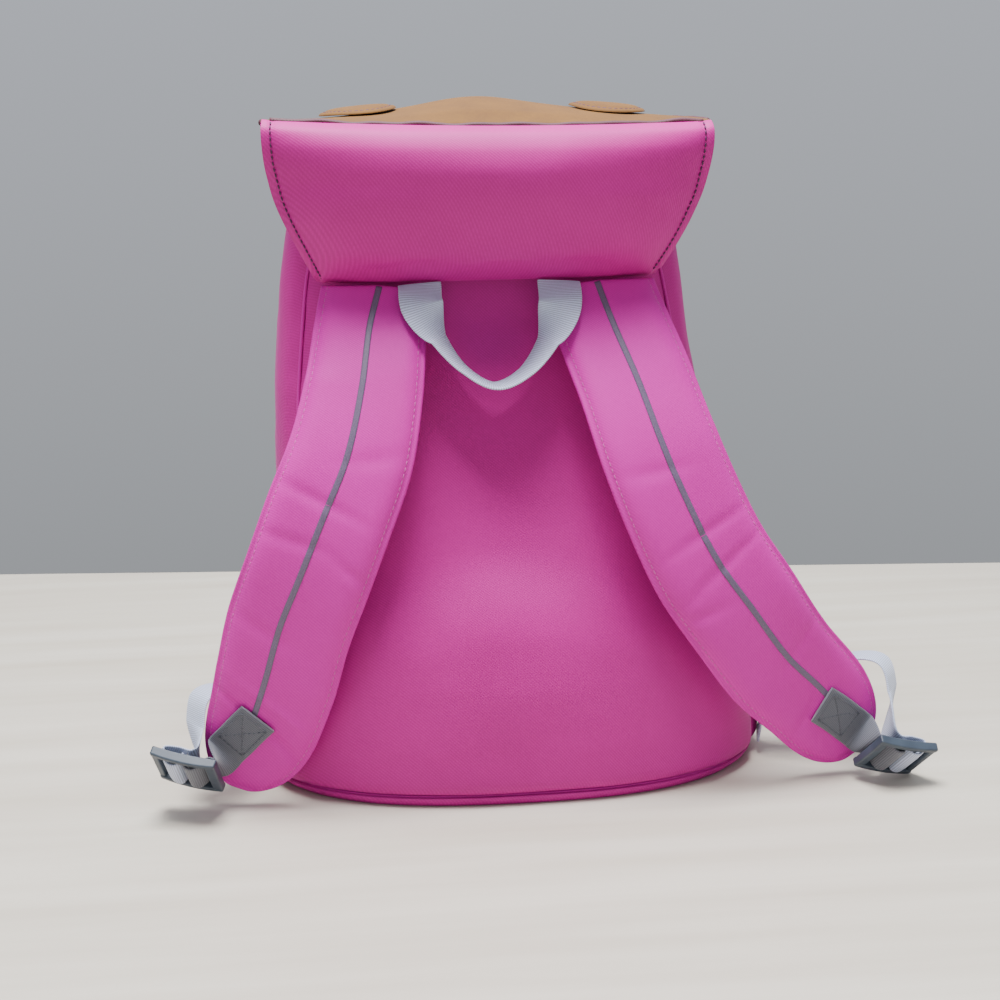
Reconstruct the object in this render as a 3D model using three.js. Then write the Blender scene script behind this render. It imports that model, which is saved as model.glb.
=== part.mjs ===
// A child's animal backpack, standing on its base with its lid closed and its shoulder straps let down.
// Millimetres, +Z up. The straps' side faces -Y and the animal face on the lid's flap looks along +Y.
// The origin is on the ground under the middle of the body.
import * as THREE from "three";

// Body sizes.
const body_height = 300;
const base_half_width = 133;
const back_depth = 86;
const front_depth = 73;
const top_lean = 10;
const base_height = 5;
const cloth_wall = 2.4;
const back_pad_wall = 5;
const seam_gap = 0.35;
const seam_dip = 2.6;
const seam_roll = 11;

// Lid sizes.
const lid_seam_height = 249;
const lid_rise = 73;
const lid_lean_out = 34;
const lid_half_width = 100.5;
const lid_wall = 3.2;
const lid_side_curl = 7;
const lid_tilt = 1.6;
const lid_middle_sag = 2.2;
const lid_side_roll = 4;
const crown_swell = 8;
const flap_drop = 122;
const seat_gap = 0.3;

// Sizes of the animal face on the lid.
const ear_radius = 18;
const ear_spacing = 116;
const ear_thickness = 3.2;
const muzzle_width = 74;
const muzzle_height = 48;
const muzzle_thickness = 5;
const pad_gap = 0.5;
const nose_width = 24;
const nose_height = 16;
const nose_thickness = 4;
const eye_radius = 6.5;
const eye_thickness = 3;
const eye_spacing = 78;

// Sizes of the shoulder straps, their webbing, the buckles and the carrying handle.
const strap_width = 59;
const strap_thickness = 9.5;
const strap_root_spacing = 102;
const strap_stand_off = 1.8;
const strap_swing = 37;
const strap_splay_left = 80;
const strap_splay_right = 119;
const reflective_width = 3.2;
const reflective_thickness = 0.6;
const webbing_width = 20;
const webbing_thickness = 1.6;
const patch_length = 24;
const patch_back_left = 26.5;
const patch_back_right = 22;
const anchor_lift = 1.2;
const buckle_width = 27;
const buckle_block = 5;
const buckle_slot = 5.6;
const buckle_bar = 3.4;
const buckle_length = buckle_block + 3 * (buckle_slot + buckle_bar);
const buckle_thickness = 4.5;
const buckle_corner = 2.6;
const buckle_edge = 0.8;
const buckle_play = 0.5;
const patch_beside_left = 8;
const patch_beside_right = 3.5;
const patch_lift = 0.6;
const loop_beside = 20;
const loop_behind = 14;
const loop_above = 46;
const handle_spacing = 65;
const handle_drop = 46;
const handle_stand_off = 16.5;
const clasp_width = 30;
const clasp_height = 26;
const clasp_thickness = 7;
const clasp_corner = 5;
const clasp_edge = 1;

const colour = {
  pink: 0xdf62b8,
  ochre: 0xb98a3f,
  cream: 0xefe3cb,
  dark: 0x2b2326,
  grey: 0xb4b8c2,
  slate: 0x3c454f,
  silver: 0x8a7a92,
};

const object = new THREE.Group();

// Builds a named mesh from points and faces, and adds it to the object.
function addMesh(name, points, faces, hex, roughness) {
  const geometry = new THREE.BufferGeometry();
  const places = points.flatMap((p) => [p.x, p.y, p.z]);
  geometry.setAttribute("position", new THREE.Float32BufferAttribute(places, 3));
  geometry.setIndex(faces.flat());
  const finish = new THREE.MeshStandardMaterial({ color: hex, roughness, metalness: 0 });
  const mesh = new THREE.Mesh(geometry, finish);
  mesh.name = name;
  object.add(mesh);
  return mesh;
}

// Splits the square a, b, c, d into two triangles.
const square = (a, b, c, d) => [[a, b, c], [a, c, d]];

// A wall between an outer and an inner grid of points, closed along its four sides.
function addWall(name, outer, inner, hex, roughness) {
  const rows = outer.length;
  const columns = outer[0].length;
  const at = (layer, i, j) => layer * rows * columns + i * columns + j;
  const faces = [];
  for (let i = 0; i < rows - 1; i += 1) {
    for (let j = 0; j < columns - 1; j += 1) {
      faces.push(...square(at(0, i, j), at(0, i, j + 1), at(0, i + 1, j + 1), at(0, i + 1, j)));
      faces.push(...square(at(1, i, j), at(1, i + 1, j), at(1, i + 1, j + 1), at(1, i, j + 1)));
    }
  }
  const top = rows - 1;
  const end = columns - 1;
  for (let j = 0; j < end; j += 1) {
    faces.push(...square(at(1, 0, j), at(1, 0, j + 1), at(0, 0, j + 1), at(0, 0, j)));
    faces.push(...square(at(0, top, j), at(0, top, j + 1), at(1, top, j + 1), at(1, top, j)));
  }
  for (let i = 0; i < top; i += 1) {
    faces.push(...square(at(0, i, 0), at(0, i + 1, 0), at(1, i + 1, 0), at(1, i, 0)));
    faces.push(...square(at(1, i, end), at(1, i + 1, end), at(0, i + 1, end), at(0, i, end)));
  }
  return addMesh(name, [...outer.flat(), ...inner.flat()], faces, hex, roughness);
}

// A solid through closed rings of equal length, with a fan over each end.
function addLoft(name, rings, hex, roughness) {
  const sides = rings[0].length;
  const points = rings.flat();
  const faces = [];
  for (let i = 0; i < rings.length - 1; i += 1) {
    for (let j = 0; j < sides; j += 1) {
      const next = (j + 1) % sides;
      faces.push(...square(i * sides + j, i * sides + next, (i + 1) * sides + next, (i + 1) * sides + j));
    }
  }
  const last = (rings.length - 1) * sides;
  const middle = (ring) => ring.reduce((sum, p) => sum.add(p), new THREE.Vector3()).divideScalar(ring.length);
  points.push(middle(rings[0]), middle(rings[rings.length - 1]));
  for (let j = 0; j < sides; j += 1) {
    const next = (j + 1) % sides;
    faces.push([points.length - 2, next, j], [points.length - 1, last + j, last + next]);
  }
  return addMesh(name, points, faces, hex, roughness);
}

// Reads a column of a table at a given value of its first column, with straight lines between the rows.
function read(table, column, value) {
  const keys = table.map((row) => row.at);
  if (value <= keys[0]) return table[0][column];
  for (let i = 1; i < keys.length; i += 1) {
    if (value <= keys[i]) {
      const share = (value - keys[i - 1]) / (keys[i] - keys[i - 1]);
      return table[i - 1][column] * (1 - share) + table[i][column] * share;
    }
  }
  return table[table.length - 1][column];
}

// Shares from 0 to 1 in equal steps, both ends included.
const steps = (count) => Array.from({ length: count + 1 }, (_, i) => i / count);

const vector = (x, y, z) => new THREE.Vector3(x, y, z);

// The body's rings from the ground up: height as a share of the body's height, then shares of the half width
// and of the two depths, how square the ring's corners are, how far it leans, and where the back panel's side
// seams run as a share of the half width.
const body_rings = [
  { at: 0.0, width: 0.93, back: 0.93, front: 0.92, corner: 2.5, lean: 0.0, seam: 0.95 },
  { at: 0.03, width: 0.99, back: 0.98, front: 0.97, corner: 2.55, lean: 0.03, seam: 0.955 },
  { at: 0.1, width: 0.985, back: 0.995, front: 0.99, corner: 2.6, lean: 0.1, seam: 0.95 },
  { at: 0.2, width: 0.94, back: 1.0, front: 1.0, corner: 2.6, lean: 0.22, seam: 0.935 },
  { at: 0.33, width: 0.88, back: 0.95, front: 0.99, corner: 2.65, lean: 0.38, seam: 0.92 },
  { at: 0.5, width: 0.826, back: 0.825, front: 0.96, corner: 2.75, lean: 0.6, seam: 0.91 },
  { at: 0.66, width: 0.8, back: 0.68, front: 0.92, corner: 2.95, lean: 0.82, seam: 0.895 },
  { at: 0.83, width: 0.75, back: 0.535, front: 0.86, corner: 3.2, lean: 1.0, seam: 0.88 },
  { at: 0.92, width: 0.71, back: 0.56, front: 0.82, corner: 3.2, lean: 1.0, seam: 0.86 },
  { at: 1.0, width: 0.66, back: 0.58, front: 0.77, corner: 3.1, lean: 1.0, seam: 0.84 },
];

// The ring of the body at height z, set in by some millimetres all round.
function bodyRing(z, inset) {
  const share = z / body_height;
  return {
    half: read(body_rings, "width", share) * base_half_width - inset,
    back: read(body_rings, "back", share) * back_depth - inset,
    front: read(body_rings, "front", share) * front_depth - inset,
    corner: read(body_rings, "corner", share),
    middle: -read(body_rings, "lean", share) * top_lean,
    seam: read(body_rings, "seam", share),
  };
}

// The point of the ring at an angle, measured from +X towards +Y.
function ringPoint(angle, z, inset) {
  const ring = bodyRing(z, inset);
  const power = 2 / ring.corner;
  const across = Math.sign(Math.cos(angle)) * Math.abs(Math.cos(angle)) ** power;
  const along = Math.sign(Math.sin(angle)) * Math.abs(Math.sin(angle)) ** power;
  return vector(ring.middle + ring.half * across, (along < 0 ? ring.back : ring.front) * along, z);
}

// How far the back of the body lies behind the origin's plane at x, at height z.
function backSurface(x, z) {
  const ring = bodyRing(z, 0);
  const share = Math.min(Math.abs(x - ring.middle) / ring.half, 0.97);
  return -ring.back * (1 - share ** ring.corner) ** (1 / ring.corner);
}

// How far the front of the body lies before the origin's plane at x, at height z.
function frontSurface(x, z) {
  const ring = bodyRing(z, 0);
  const share = Math.min(Math.abs(x - ring.middle) / ring.half, 0.97);
  return ring.front * (1 - share ** ring.corner) ** (1 / ring.corner);
}

// The angle at which the ring's side seam lies, next to the right side of the back.
function seamAngle(z) {
  const ring = bodyRing(z, 0);
  return -Math.acos(ring.seam ** (ring.corner / 2));
}

// The front panel's side seams keep one share of a quarter turn from the middle of the front.
const front_seam_share = 0.62;
const levels_below_lid = [0.0, 0.035, 0.1, 0.18, 0.28, 0.4, 0.53, 0.67, 0.8, 0.91, 1.0];
const levels_in_lid = [0.35, 0.7, 1.0];
const panel_foot = base_height + seam_gap;
const panel_heights = [
  ...levels_below_lid.map((share) => panel_foot + (lid_seam_height - panel_foot) * share),
  ...levels_in_lid.map((share) => lid_seam_height + (body_height - lid_seam_height) * share),
];

// One panel of the body between two seams, whose angles follow the height.
function addPanel(name, from, to, columns, wall, hex) {
  const outer = [];
  const inner = [];
  for (const z of panel_heights) {
    const first = from(z);
    const last = to(z);
    const girth = ringPoint(first, z, 0).distanceTo(ringPoint(first + 0.01, z, 0)) / 0.01;
    const pull = seam_gap / 2 / girth;
    const outerRow = [];
    const innerRow = [];
    for (const step of steps(columns)) {
      const angle = first + pull + (last - first - 2 * pull) * step;
      const edge = Math.min(step, 1 - step) * (last - first) * girth;
      const dip = seam_dip * Math.max(0, 1 - edge / seam_roll) ** 2;
      outerRow.push(ringPoint(angle, z, dip));
      innerRow.push(ringPoint(angle, z, dip + wall));
    }
    outer.push(outerRow);
    inner.push(innerRow);
  }
  addWall(name, outer, inner, hex, 0.85);
}

const quarter = Math.PI / 2;
const back_right = (z) => seamAngle(z);
const back_left = (z) => -Math.PI - seamAngle(z);
const front_right = () => quarter - quarter * front_seam_share;
const front_left = () => quarter + quarter * front_seam_share;

addPanel("back_panel", back_left, back_right, 16, back_pad_wall, colour.pink);
addPanel("side_gusset_right", back_right, front_right, 9, cloth_wall, colour.pink);
addPanel("front_panel", front_right, front_left, 12, cloth_wall, colour.pink);
addPanel("side_gusset_left", front_left, (z) => 2 * Math.PI + back_left(z), 9, cloth_wall, colour.pink);

// The base is a flat bottom with a low wall turned up all round, which the panels stand on.
function addBase() {
  const sides = 48;
  const levels = [
    { z: 0, inset: 0 },
    { z: base_height * 0.4, inset: -0.8 },
    { z: base_height, inset: 0 },
  ];
  const rings = levels.map(({ z, inset }) => steps(sides).slice(0, sides)
    .map((step) => ringPoint(2 * Math.PI * step, z, inset)));
  const inside = [
    { z: base_height, inset: cloth_wall },
    { z: cloth_wall, inset: cloth_wall },
  ].map(({ z, inset }) => steps(sides).slice(0, sides)
    .map((step) => ringPoint(2 * Math.PI * step, z, inset)));
  addLoft("base_panel", [...rings, ...inside], colour.pink, 0.85);
}
addBase();

// The lid's back rises from its seam on the back panel, leans out over the straps and rolls in at the top.
// Shares of its rise, its lean and its half width, and of how far its side edges curl back.
const lid_back_rows = [
  { at: 0.0, out: 0.0, half: 0.795, curl: 0.0 },
  { at: 0.07, out: 0.24, half: 0.815, curl: 0.1 },
  { at: 0.19, out: 0.53, half: 0.855, curl: 0.35 },
  { at: 0.38, out: 0.8, half: 0.92, curl: 0.7 },
  { at: 0.55, out: 0.95, half: 0.97, curl: 1.0 },
  { at: 0.71, out: 1.0, half: 0.992, curl: 1.0 },
  { at: 0.85, out: 0.97, half: 1.0, curl: 0.8 },
  { at: 0.95, out: 0.83, half: 1.0, curl: 0.5 },
  { at: 1.0, out: 0.6, half: 0.996, curl: 0.3 },
];
const lid_middle = -top_lean;
const lid_columns = 16;

// The point of the lid's back at share u across it, from -1 to 1, and share v up it.
function lidBackPoint(u, v) {
  const half = read(lid_back_rows, "half", v) * lid_half_width;
  const x = lid_middle + half * u;
  const seat = backSurface(x, lid_seam_height) * (1 - v) + backSurface(lid_middle, lid_seam_height) * v;
  const out = read(lid_back_rows, "out", v) * lid_lean_out;
  const curl = read(lid_back_rows, "curl", v) * lid_side_curl * Math.abs(u) ** 3;
  const sag = lid_middle_sag * v * (1 - u * u);
  const z = lid_seam_height + lid_rise * v - lid_tilt * u * v - sag;
  return vector(x, seat - seat_gap - lid_wall - out + curl, z);
}

// The outward direction of a surface given by a function of two values.
function surfaceNormal(surface, a, b, step) {
  const first = surface(a + step, b).sub(surface(a - step, b));
  const second = surface(a, b + step).sub(surface(a, b - step));
  return first.cross(second).normalize();
}

// A sheet of even thickness whose outer side is the given surface. Its thickness starts in a given direction
// at its first row, where it meets the piece that carries it, and turns square to the surface.
function addSheet(name, surface, rows, columns, wall, first, hex) {
  const turned = 0.12;
  const step = 0.01;
  const outer = rows.map((v) => columns.map((u) => surface(u, v)));
  const inner = rows.map((v) => columns.map((u) => {
    const square_on = surfaceNormal(surface, u, Math.min(Math.max(v, step), 1 - step), step).negate();
    const direction = first(u).lerp(square_on, Math.min(1, v / turned)).normalize();
    return surface(u, v).addScaledVector(direction, wall);
  }));
  return addWall(name, outer, inner, hex, 0.85);
}

const across = steps(lid_columns).map((step) => 2 * step - 1);
const lid_back_levels = [0, 0.07, 0.13, 0.19, 0.28, 0.38, 0.47, 0.55, 0.63, 0.71, 0.79, 0.85, 0.91, 0.95, 1];
addSheet("lid_back", lidBackPoint, lid_back_levels, across, lid_wall, () => vector(0, 1, 0), colour.pink);

// The lid's face goes forward over the mouth and down the front: shares of the way from the lid's back to the
// front, of the drop below the lid's top, and of the half width.
const lid_top = lid_seam_height + lid_rise;
const flap_bottom = lid_top - flap_drop;
const ridge = lidBackPoint(0, 1).y;
const flap_front = frontSurface(lid_middle, flap_bottom) + seat_gap + lid_wall;
const lid_face_rows = [
  { at: 0.0, depth: 0.0, down: 0.0, half: 1.0 },
  { at: 0.07, depth: 0.13, down: -0.018, half: 1.0 },
  { at: 0.18, depth: 0.33, down: -0.028, half: 0.99 },
  { at: 0.3, depth: 0.55, down: -0.025, half: 0.98 },
  { at: 0.42, depth: 0.76, down: 0.0, half: 0.97 },
  { at: 0.51, depth: 0.91, down: 0.07, half: 0.95 },
  { at: 0.58, depth: 0.985, down: 0.19, half: 0.93 },
  { at: 0.65, depth: 1.01, down: 0.34, half: 0.91 },
  { at: 0.75, depth: 1.012, down: 0.53, half: 0.88 },
  { at: 0.85, depth: 1.01, down: 0.72, half: 0.82 },
  { at: 0.93, depth: 1.004, down: 0.87, half: 0.68 },
  { at: 1.0, depth: 1.0, down: 1.0, half: 0.42 },
];

// How much the crown swells at x, at share v along the lid's face.
function crownSwell(x, v) {
  const side = (x - lid_middle) / (lid_half_width * 0.4);
  const along = (v - 0.2) / 0.2;
  return crown_swell * Math.exp(-side * side - along * along) * Math.min(1, v / 0.04);
}

// The point of the lid's face at x, at share v along it.
function lidFaceAt(x, v) {
  const share = (x - lid_middle) / lid_half_width;
  const hem = lidBackPoint(share, 1);
  const start = Math.max(0, 1 - v / 0.12);
  const forward = (flap_front - ridge - seat_gap) * read(lid_face_rows, "depth", v);
  const y = hem.y * start + ridge * (1 - start) + seat_gap + forward;
  const top = hem.z * start + lid_top * (1 - start);
  const round = lid_side_roll * share ** 4 * (1 - start);
  const z = top - read(lid_face_rows, "down", v) * flap_drop + crownSwell(x, v);
  return vector(x, y - round * Math.min(1, v / 0.5), z - round * Math.max(0, 1 - v / 0.5));
}
const lidFacePoint = (u, v) => lidFaceAt(lid_middle + u * read(lid_face_rows, "half", v) * lid_half_width, v);
const lid_face_levels = [0, 0.035, 0.07, 0.12, 0.18, 0.24, 0.3, 0.36, 0.42, 0.465, 0.51, 0.545, 0.58, 0.65,
  0.75, 0.85, 0.93, 1];
const ridgeInwards = (u) => surfaceNormal(lidBackPoint, u, 0.99, 0.01).negate();
addSheet("lid_face", lidFacePoint, lid_face_levels, across, lid_wall, ridgeInwards, colour.ochre);

// A padded patch that follows the lid's face: rings around its middle, with a rounded top and a flat back.
function addPad(name, middle_x, middle_v, half_wide, half_tall, thickness, lift, hex) {
  const sides = 20;
  const spans = [1, 0.97, 0.8, 0.5];
  const [above, below] = [-0.02, 0.02].map((way) => lidFaceAt(middle_x, middle_v + way));
  const drop_per_share = above.distanceTo(below) / 0.04;
  const at = (span, j, rise) => {
    const angle = 2 * Math.PI * j / sides;
    const x = middle_x + half_wide * span * Math.cos(angle);
    const v = middle_v + half_tall * span * Math.sin(angle) / drop_per_share;
    const normal = surfaceNormal((a, b) => lidFaceAt(a, b), x, v, 0.01);
    return lidFaceAt(x, v).addScaledVector(normal, pad_gap + lift + rise);
  };
  const ring = (span, lift) => Array.from({ length: sides }, (_, j) => at(span, j, lift));
  const under = [0.5, 1].map((span) => ring(span, 0));
  const over = spans.map((span) => ring(span, thickness * Math.sqrt(1 - span * span * 0.93)));
  addLoft(name, [...under, ...over], hex, 0.9);
}

// The animal face: two ears on the crown, then a muzzle, a nose and two eyes on the front of the flap.
const ear_share = 0.14;
const ears = { ear_left: -1, ear_right: 1 };
for (const [name, side] of Object.entries(ears)) {
  const middle_x = lid_middle + side * ear_spacing / 2;
  addPad(name, middle_x, ear_share, ear_radius, ear_radius, ear_thickness, 0, colour.ochre);
}
const muzzle_share = 0.76;
const eye_share = 0.66;
addPad("muzzle", lid_middle, muzzle_share, muzzle_width / 2, muzzle_height / 2, muzzle_thickness, 0,
  colour.cream);
addPad("nose", lid_middle, muzzle_share - 0.015, nose_width / 2, nose_height / 2, nose_thickness,
  muzzle_thickness + seat_gap, colour.dark);
const eyes = { eye_left: -1, eye_right: 1 };
for (const [name, side] of Object.entries(eyes)) {
  const middle_x = lid_middle + side * eye_spacing / 2;
  addPad(name, middle_x, eye_share, eye_radius, eye_radius, eye_thickness, 0, colour.dark);
}

// The lid's clasp is one plain piece on the front panel, just under the tip of the flap.
function addClasp() {
  const outline = new THREE.Shape();
  const inner_x = clasp_width / 2 - clasp_corner;
  const inner_y = clasp_height / 2 - clasp_corner;
  outline.moveTo(-inner_x, -clasp_height / 2);
  outline.lineTo(inner_x, -clasp_height / 2);
  outline.absarc(inner_x, -inner_y, clasp_corner, -quarter, 0, false);
  outline.absarc(inner_x, inner_y, clasp_corner, 0, quarter, false);
  outline.absarc(-inner_x, inner_y, clasp_corner, quarter, 2 * quarter, false);
  outline.absarc(-inner_x, -inner_y, clasp_corner, 2 * quarter, 3 * quarter, false);
  const depth = clasp_thickness - 2 * clasp_edge;
  const geometry = new THREE.ExtrudeGeometry(outline, {
    depth, bevelEnabled: true, bevelThickness: clasp_edge, bevelSize: clasp_edge, bevelOffset: -clasp_edge,
    bevelSegments: 2, curveSegments: 4,
  });
  const slate = new THREE.MeshStandardMaterial({ color: colour.slate, roughness: 0.45 });
  const mesh = new THREE.Mesh(geometry, slate);
  mesh.name = "lid_clasp";
  const z = flap_bottom - seat_gap - clasp_height / 2;
  mesh.position.set(lid_middle, frontSurface(lid_middle, z - clasp_height / 2) + seat_gap + clasp_edge, z);
  mesh.rotation.set(-quarter, 0, 0);
  object.add(mesh);
}
addClasp();

// A station along a strap or webbing: its middle, and the directions along, across and outwards.
function station(curve, share, turn) {
  const middle = curve.getPoint(share);
  const along = curve.getTangent(share).normalize();
  const facing = vector(0, -1, 0).applyAxisAngle(vector(0, 0, 1), turn);
  const wide = facing.clone().cross(along).normalize();
  const out = wide.clone().cross(along).negate();
  return { middle, along, wide, out };
}

const degrees = Math.PI / 180;

// The straps' lie, from the seam to the tip: height as a share of the seam's, sideways share of the splay, then
// share of the swing in front of the back panel, the width, the thickness and the turn about the upright.
const strap_lie = {
  left: [
    { height: 1.0, across: 0.0, swing: 0.0, wide: 0.89, thick: 0.5, turn: -7 },
    { height: 0.93, across: 0.056, swing: 0.22, wide: 0.88, thick: 0.9, turn: -8 },
    { height: 0.82, across: 0.11, swing: 0.6, wide: 0.93, thick: 1, turn: -8 },
    { height: 0.7, across: 0.2, swing: 0.88, wide: 0.98, thick: 1, turn: -8 },
    { height: 0.59, across: 0.34, swing: 1.0, wide: 1.0, thick: 1, turn: -8 },
    { height: 0.48, across: 0.475, swing: 1.0, wide: 1.0, thick: 1, turn: -8 },
    { height: 0.38, across: 0.595, swing: 0.9, wide: 1.0, thick: 1, turn: -8 },
    { height: 0.27, across: 0.69, swing: 0.8, wide: 0.98, thick: 0.95, turn: -6 },
    { height: 0.17, across: 0.79, swing: 0.66, wide: 0.92, thick: 0.85, turn: -4 },
    { height: 0.036, across: 0.96, swing: 0.44, wide: 0.78, thick: 0.7, turn: -2 },
  ],
  right: [
    { height: 1.0, across: 0.0, swing: 0.0, wide: 0.89, thick: 0.5, turn: 7 },
    { height: 0.93, across: 0.04, swing: 0.22, wide: 0.93, thick: 0.9, turn: 9 },
    { height: 0.82, across: 0.12, swing: 0.6, wide: 0.95, thick: 1, turn: 10 },
    { height: 0.7, across: 0.2, swing: 0.9, wide: 0.98, thick: 1, turn: 11 },
    { height: 0.59, across: 0.29, swing: 1.02, wide: 1.0, thick: 1, turn: 12 },
    { height: 0.48, across: 0.4, swing: 1.05, wide: 1.02, thick: 1, turn: 12 },
    { height: 0.38, across: 0.54, swing: 1.0, wide: 1.02, thick: 1, turn: 11 },
    { height: 0.27, across: 0.7, swing: 0.82, wide: 1.0, thick: 0.95, turn: 9 },
    { height: 0.165, across: 0.9, swing: 0.6, wide: 0.93, thick: 0.85, turn: 6 },
    { height: 0.04, across: 1.07, swing: 0.42, wide: 0.8, thick: 0.7, turn: 4 },
  ],
};
const splay = { left: strap_splay_left, right: strap_splay_right };
const sign = { left: -1, right: 1 };

// The middle line of a strap, from its root under the lid's seam to its tip.
function strapCurve(side) {
  const root_x = lid_middle + sign[side] * strap_root_spacing / 2;
  const root_y = backSurface(root_x, lid_seam_height) - strap_thickness / 4 - strap_stand_off;
  const points = strap_lie[side].map((row) => vector(
    root_x + sign[side] * splay[side] * row.across,
    root_y - strap_swing * row.swing,
    lid_seam_height * row.height,
  ));
  return new THREE.CatmullRomCurve3(points, false, "centripetal");
}

// One station of a strap, with the half width and half thickness that it has there.
function strapStation(side, curve, share) {
  const rows = strap_lie[side];
  const place = share * (rows.length - 1);
  const i = Math.min(Math.floor(place), rows.length - 2);
  const mix = (column) => rows[i][column] * (1 - place + i) + rows[i + 1][column] * (place - i);
  const frame = station(curve, share, mix("turn") * degrees);
  const half_wide = mix("wide") * strap_width / 2;
  return { ...frame, half_wide, half_thick: mix("thick") * strap_thickness / 2 };
}

// Stations of a strap from root to tip, closer together where its end is rounded off.
const strap_shares = [...steps(20).map((step) => step * 0.9), 0.93, 0.955, 0.975, 0.99, 1];
const strap_round = 0.12;

function addStrap(side) {
  const sides = 12;
  const curve = strapCurve(side);
  const rings = strap_shares.map((share) => {
    const frame = strapStation(side, curve, share);
    const reach = Math.max(0, share - 1 + strap_round) / strap_round;
    const rounded = Math.max(0.25, (1 - reach ** 3) ** 0.5);
    return Array.from({ length: sides }, (_, j) => {
      const angle = 2 * Math.PI * (j + 0.5) / sides;
      const [across, outwards] = [Math.cos(angle), Math.sin(angle)]
        .map((value) => Math.sign(value) * Math.abs(value) ** 0.7);
      const w = across * frame.half_wide * rounded;
      const n = outwards * frame.half_thick;
      const point = frame.middle.clone().addScaledVector(frame.wide, w).addScaledVector(frame.out, n);
      point.z = Math.min(point.z, lid_seam_height - seat_gap);
      return point;
    });
  });
  addLoft(`shoulder_strap_${side}`, rings, colour.pink, 0.85);
}

// A flat band along stations: each ring is a rectangle lifted off the station's middle.
function addBand(name, stations, wide, thick, hex, roughness) {
  const rings = stations.map((frame) => {
    const corner = (w, n) => {
      const point = frame.middle.clone().addScaledVector(frame.wide, w * wide / 2)
        .addScaledVector(frame.out, frame.lift + n * thick);
      point.z = Math.min(point.z, lid_seam_height - seat_gap);
      return point;
    };
    return [corner(1, 0), corner(1, 1), corner(-1, 1), corner(-1, 0)];
  });
  addLoft(name, rings, hex, roughness);
}

// The reflective line runs down the middle of a strap and ends under the webbing patch.
const reflective_shares = strap_shares.slice(1, 19);

function addReflectiveLine(side) {
  const curve = strapCurve(side);
  const stations = reflective_shares.map((share) => {
    const frame = strapStation(side, curve, share);
    return { ...frame, lift: frame.half_thick + seat_gap };
  });
  addBand(`reflective_line_${side}`, stations, reflective_width, reflective_thickness, colour.silver, 0.4);
}

for (const side of ["left", "right"]) {
  addStrap(side);
  addReflectiveLine(side);
}

// How each buckle lies: its middle measured from its strap's tip, the direction away from the strap along its
// webbing, and its outward direction.
const buckle_lie = {
  left: { beside: 21.5, behind: -13.5, above: 17 },
  right: { beside: 16, behind: -15.5, above: 5 },
};
const buckle_away = { left: vector(-0.94, 0.28, 0.16), right: vector(0.94, 0.16, -0.25) };
const buckle_out = vector(0, -0.75, -0.66);

// The matrix that turns a buckle's own axes to where it lies: across its webbing, along it, and outwards.
function buckleMatrix(side) {
  const tip = strapCurve(side).getPoint(1);
  const lie = buckle_lie[side];
  const away = buckle_away[side].clone().normalize();
  const wide = away.clone().cross(buckle_out).normalize();
  const out = wide.clone().cross(away).normalize();
  const middle = vector(tip.x + sign[side] * lie.beside, tip.y + lie.behind, tip.z + lie.above);
  return new THREE.Matrix4().makeBasis(wide, away, out).setPosition(middle);
}

// The places along a buckle: its three slots, and the middles of the two bars between them.
const slot_step = buckle_slot + buckle_bar;
const first_slot = buckle_block - buckle_length / 2;
const strap_bar = first_slot + buckle_slot + buckle_bar / 2;
const loop_bar = strap_bar + slot_step;

// A ladder buckle: a frame with a broad end, then three slots with a bar after each.
function addBuckle(side) {
  const half_wide = buckle_width / 2;
  const half_long = buckle_length / 2;
  const outline = new THREE.Shape();
  const inner_x = half_wide - buckle_corner;
  const inner_y = half_long - buckle_corner;
  outline.moveTo(-inner_x, -half_long);
  outline.lineTo(inner_x, -half_long);
  outline.absarc(inner_x, -inner_y, buckle_corner, -quarter, 0, false);
  outline.absarc(inner_x, inner_y, buckle_corner, 0, quarter, false);
  outline.absarc(-inner_x, inner_y, buckle_corner, quarter, 2 * quarter, false);
  outline.absarc(-inner_x, -inner_y, buckle_corner, 2 * quarter, 3 * quarter, false);
  const slot_half = webbing_width / 2 + buckle_play;
  for (const near of [0, 1, 2].map((i) => first_slot + i * slot_step)) {
    const slot = new THREE.Path();
    slot.moveTo(-slot_half, near);
    slot.lineTo(-slot_half, near + buckle_slot);
    slot.lineTo(slot_half, near + buckle_slot);
    slot.lineTo(slot_half, near);
    slot.closePath();
    outline.holes.push(slot);
  }
  const depth = buckle_thickness - 2 * buckle_edge;
  const geometry = new THREE.ExtrudeGeometry(outline, {
    depth, bevelEnabled: true, bevelThickness: buckle_edge, bevelSize: buckle_edge, bevelOffset: -buckle_edge,
    bevelSegments: 1, curveSegments: 4,
  });
  geometry.translate(0, 0, -depth / 2);
  geometry.applyMatrix4(buckleMatrix(side));
  const slate = new THREE.MeshStandardMaterial({ color: colour.slate, roughness: 0.45 });
  const mesh = new THREE.Mesh(geometry, slate);
  mesh.name = `buckle_${side}`;
  object.add(mesh);
}

// Stations along a smooth line through rows of a point and a width direction.
function bandStations(rows, count) {
  const curve = new THREE.CatmullRomCurve3(rows.map((row) => row.point), false, "centripetal");
  return steps(count).map((share) => {
    const place = share * (rows.length - 1);
    const i = Math.min(Math.floor(place), rows.length - 2);
    const along = curve.getTangent(share).normalize();
    const wide = rows[i].wide.clone().lerp(rows[i + 1].wide, place - i).normalize();
    const out = along.clone().cross(wide).normalize();
    return { middle: curve.getPoint(share), wide, out, lift: -webbing_thickness / 2 };
  });
}

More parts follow.
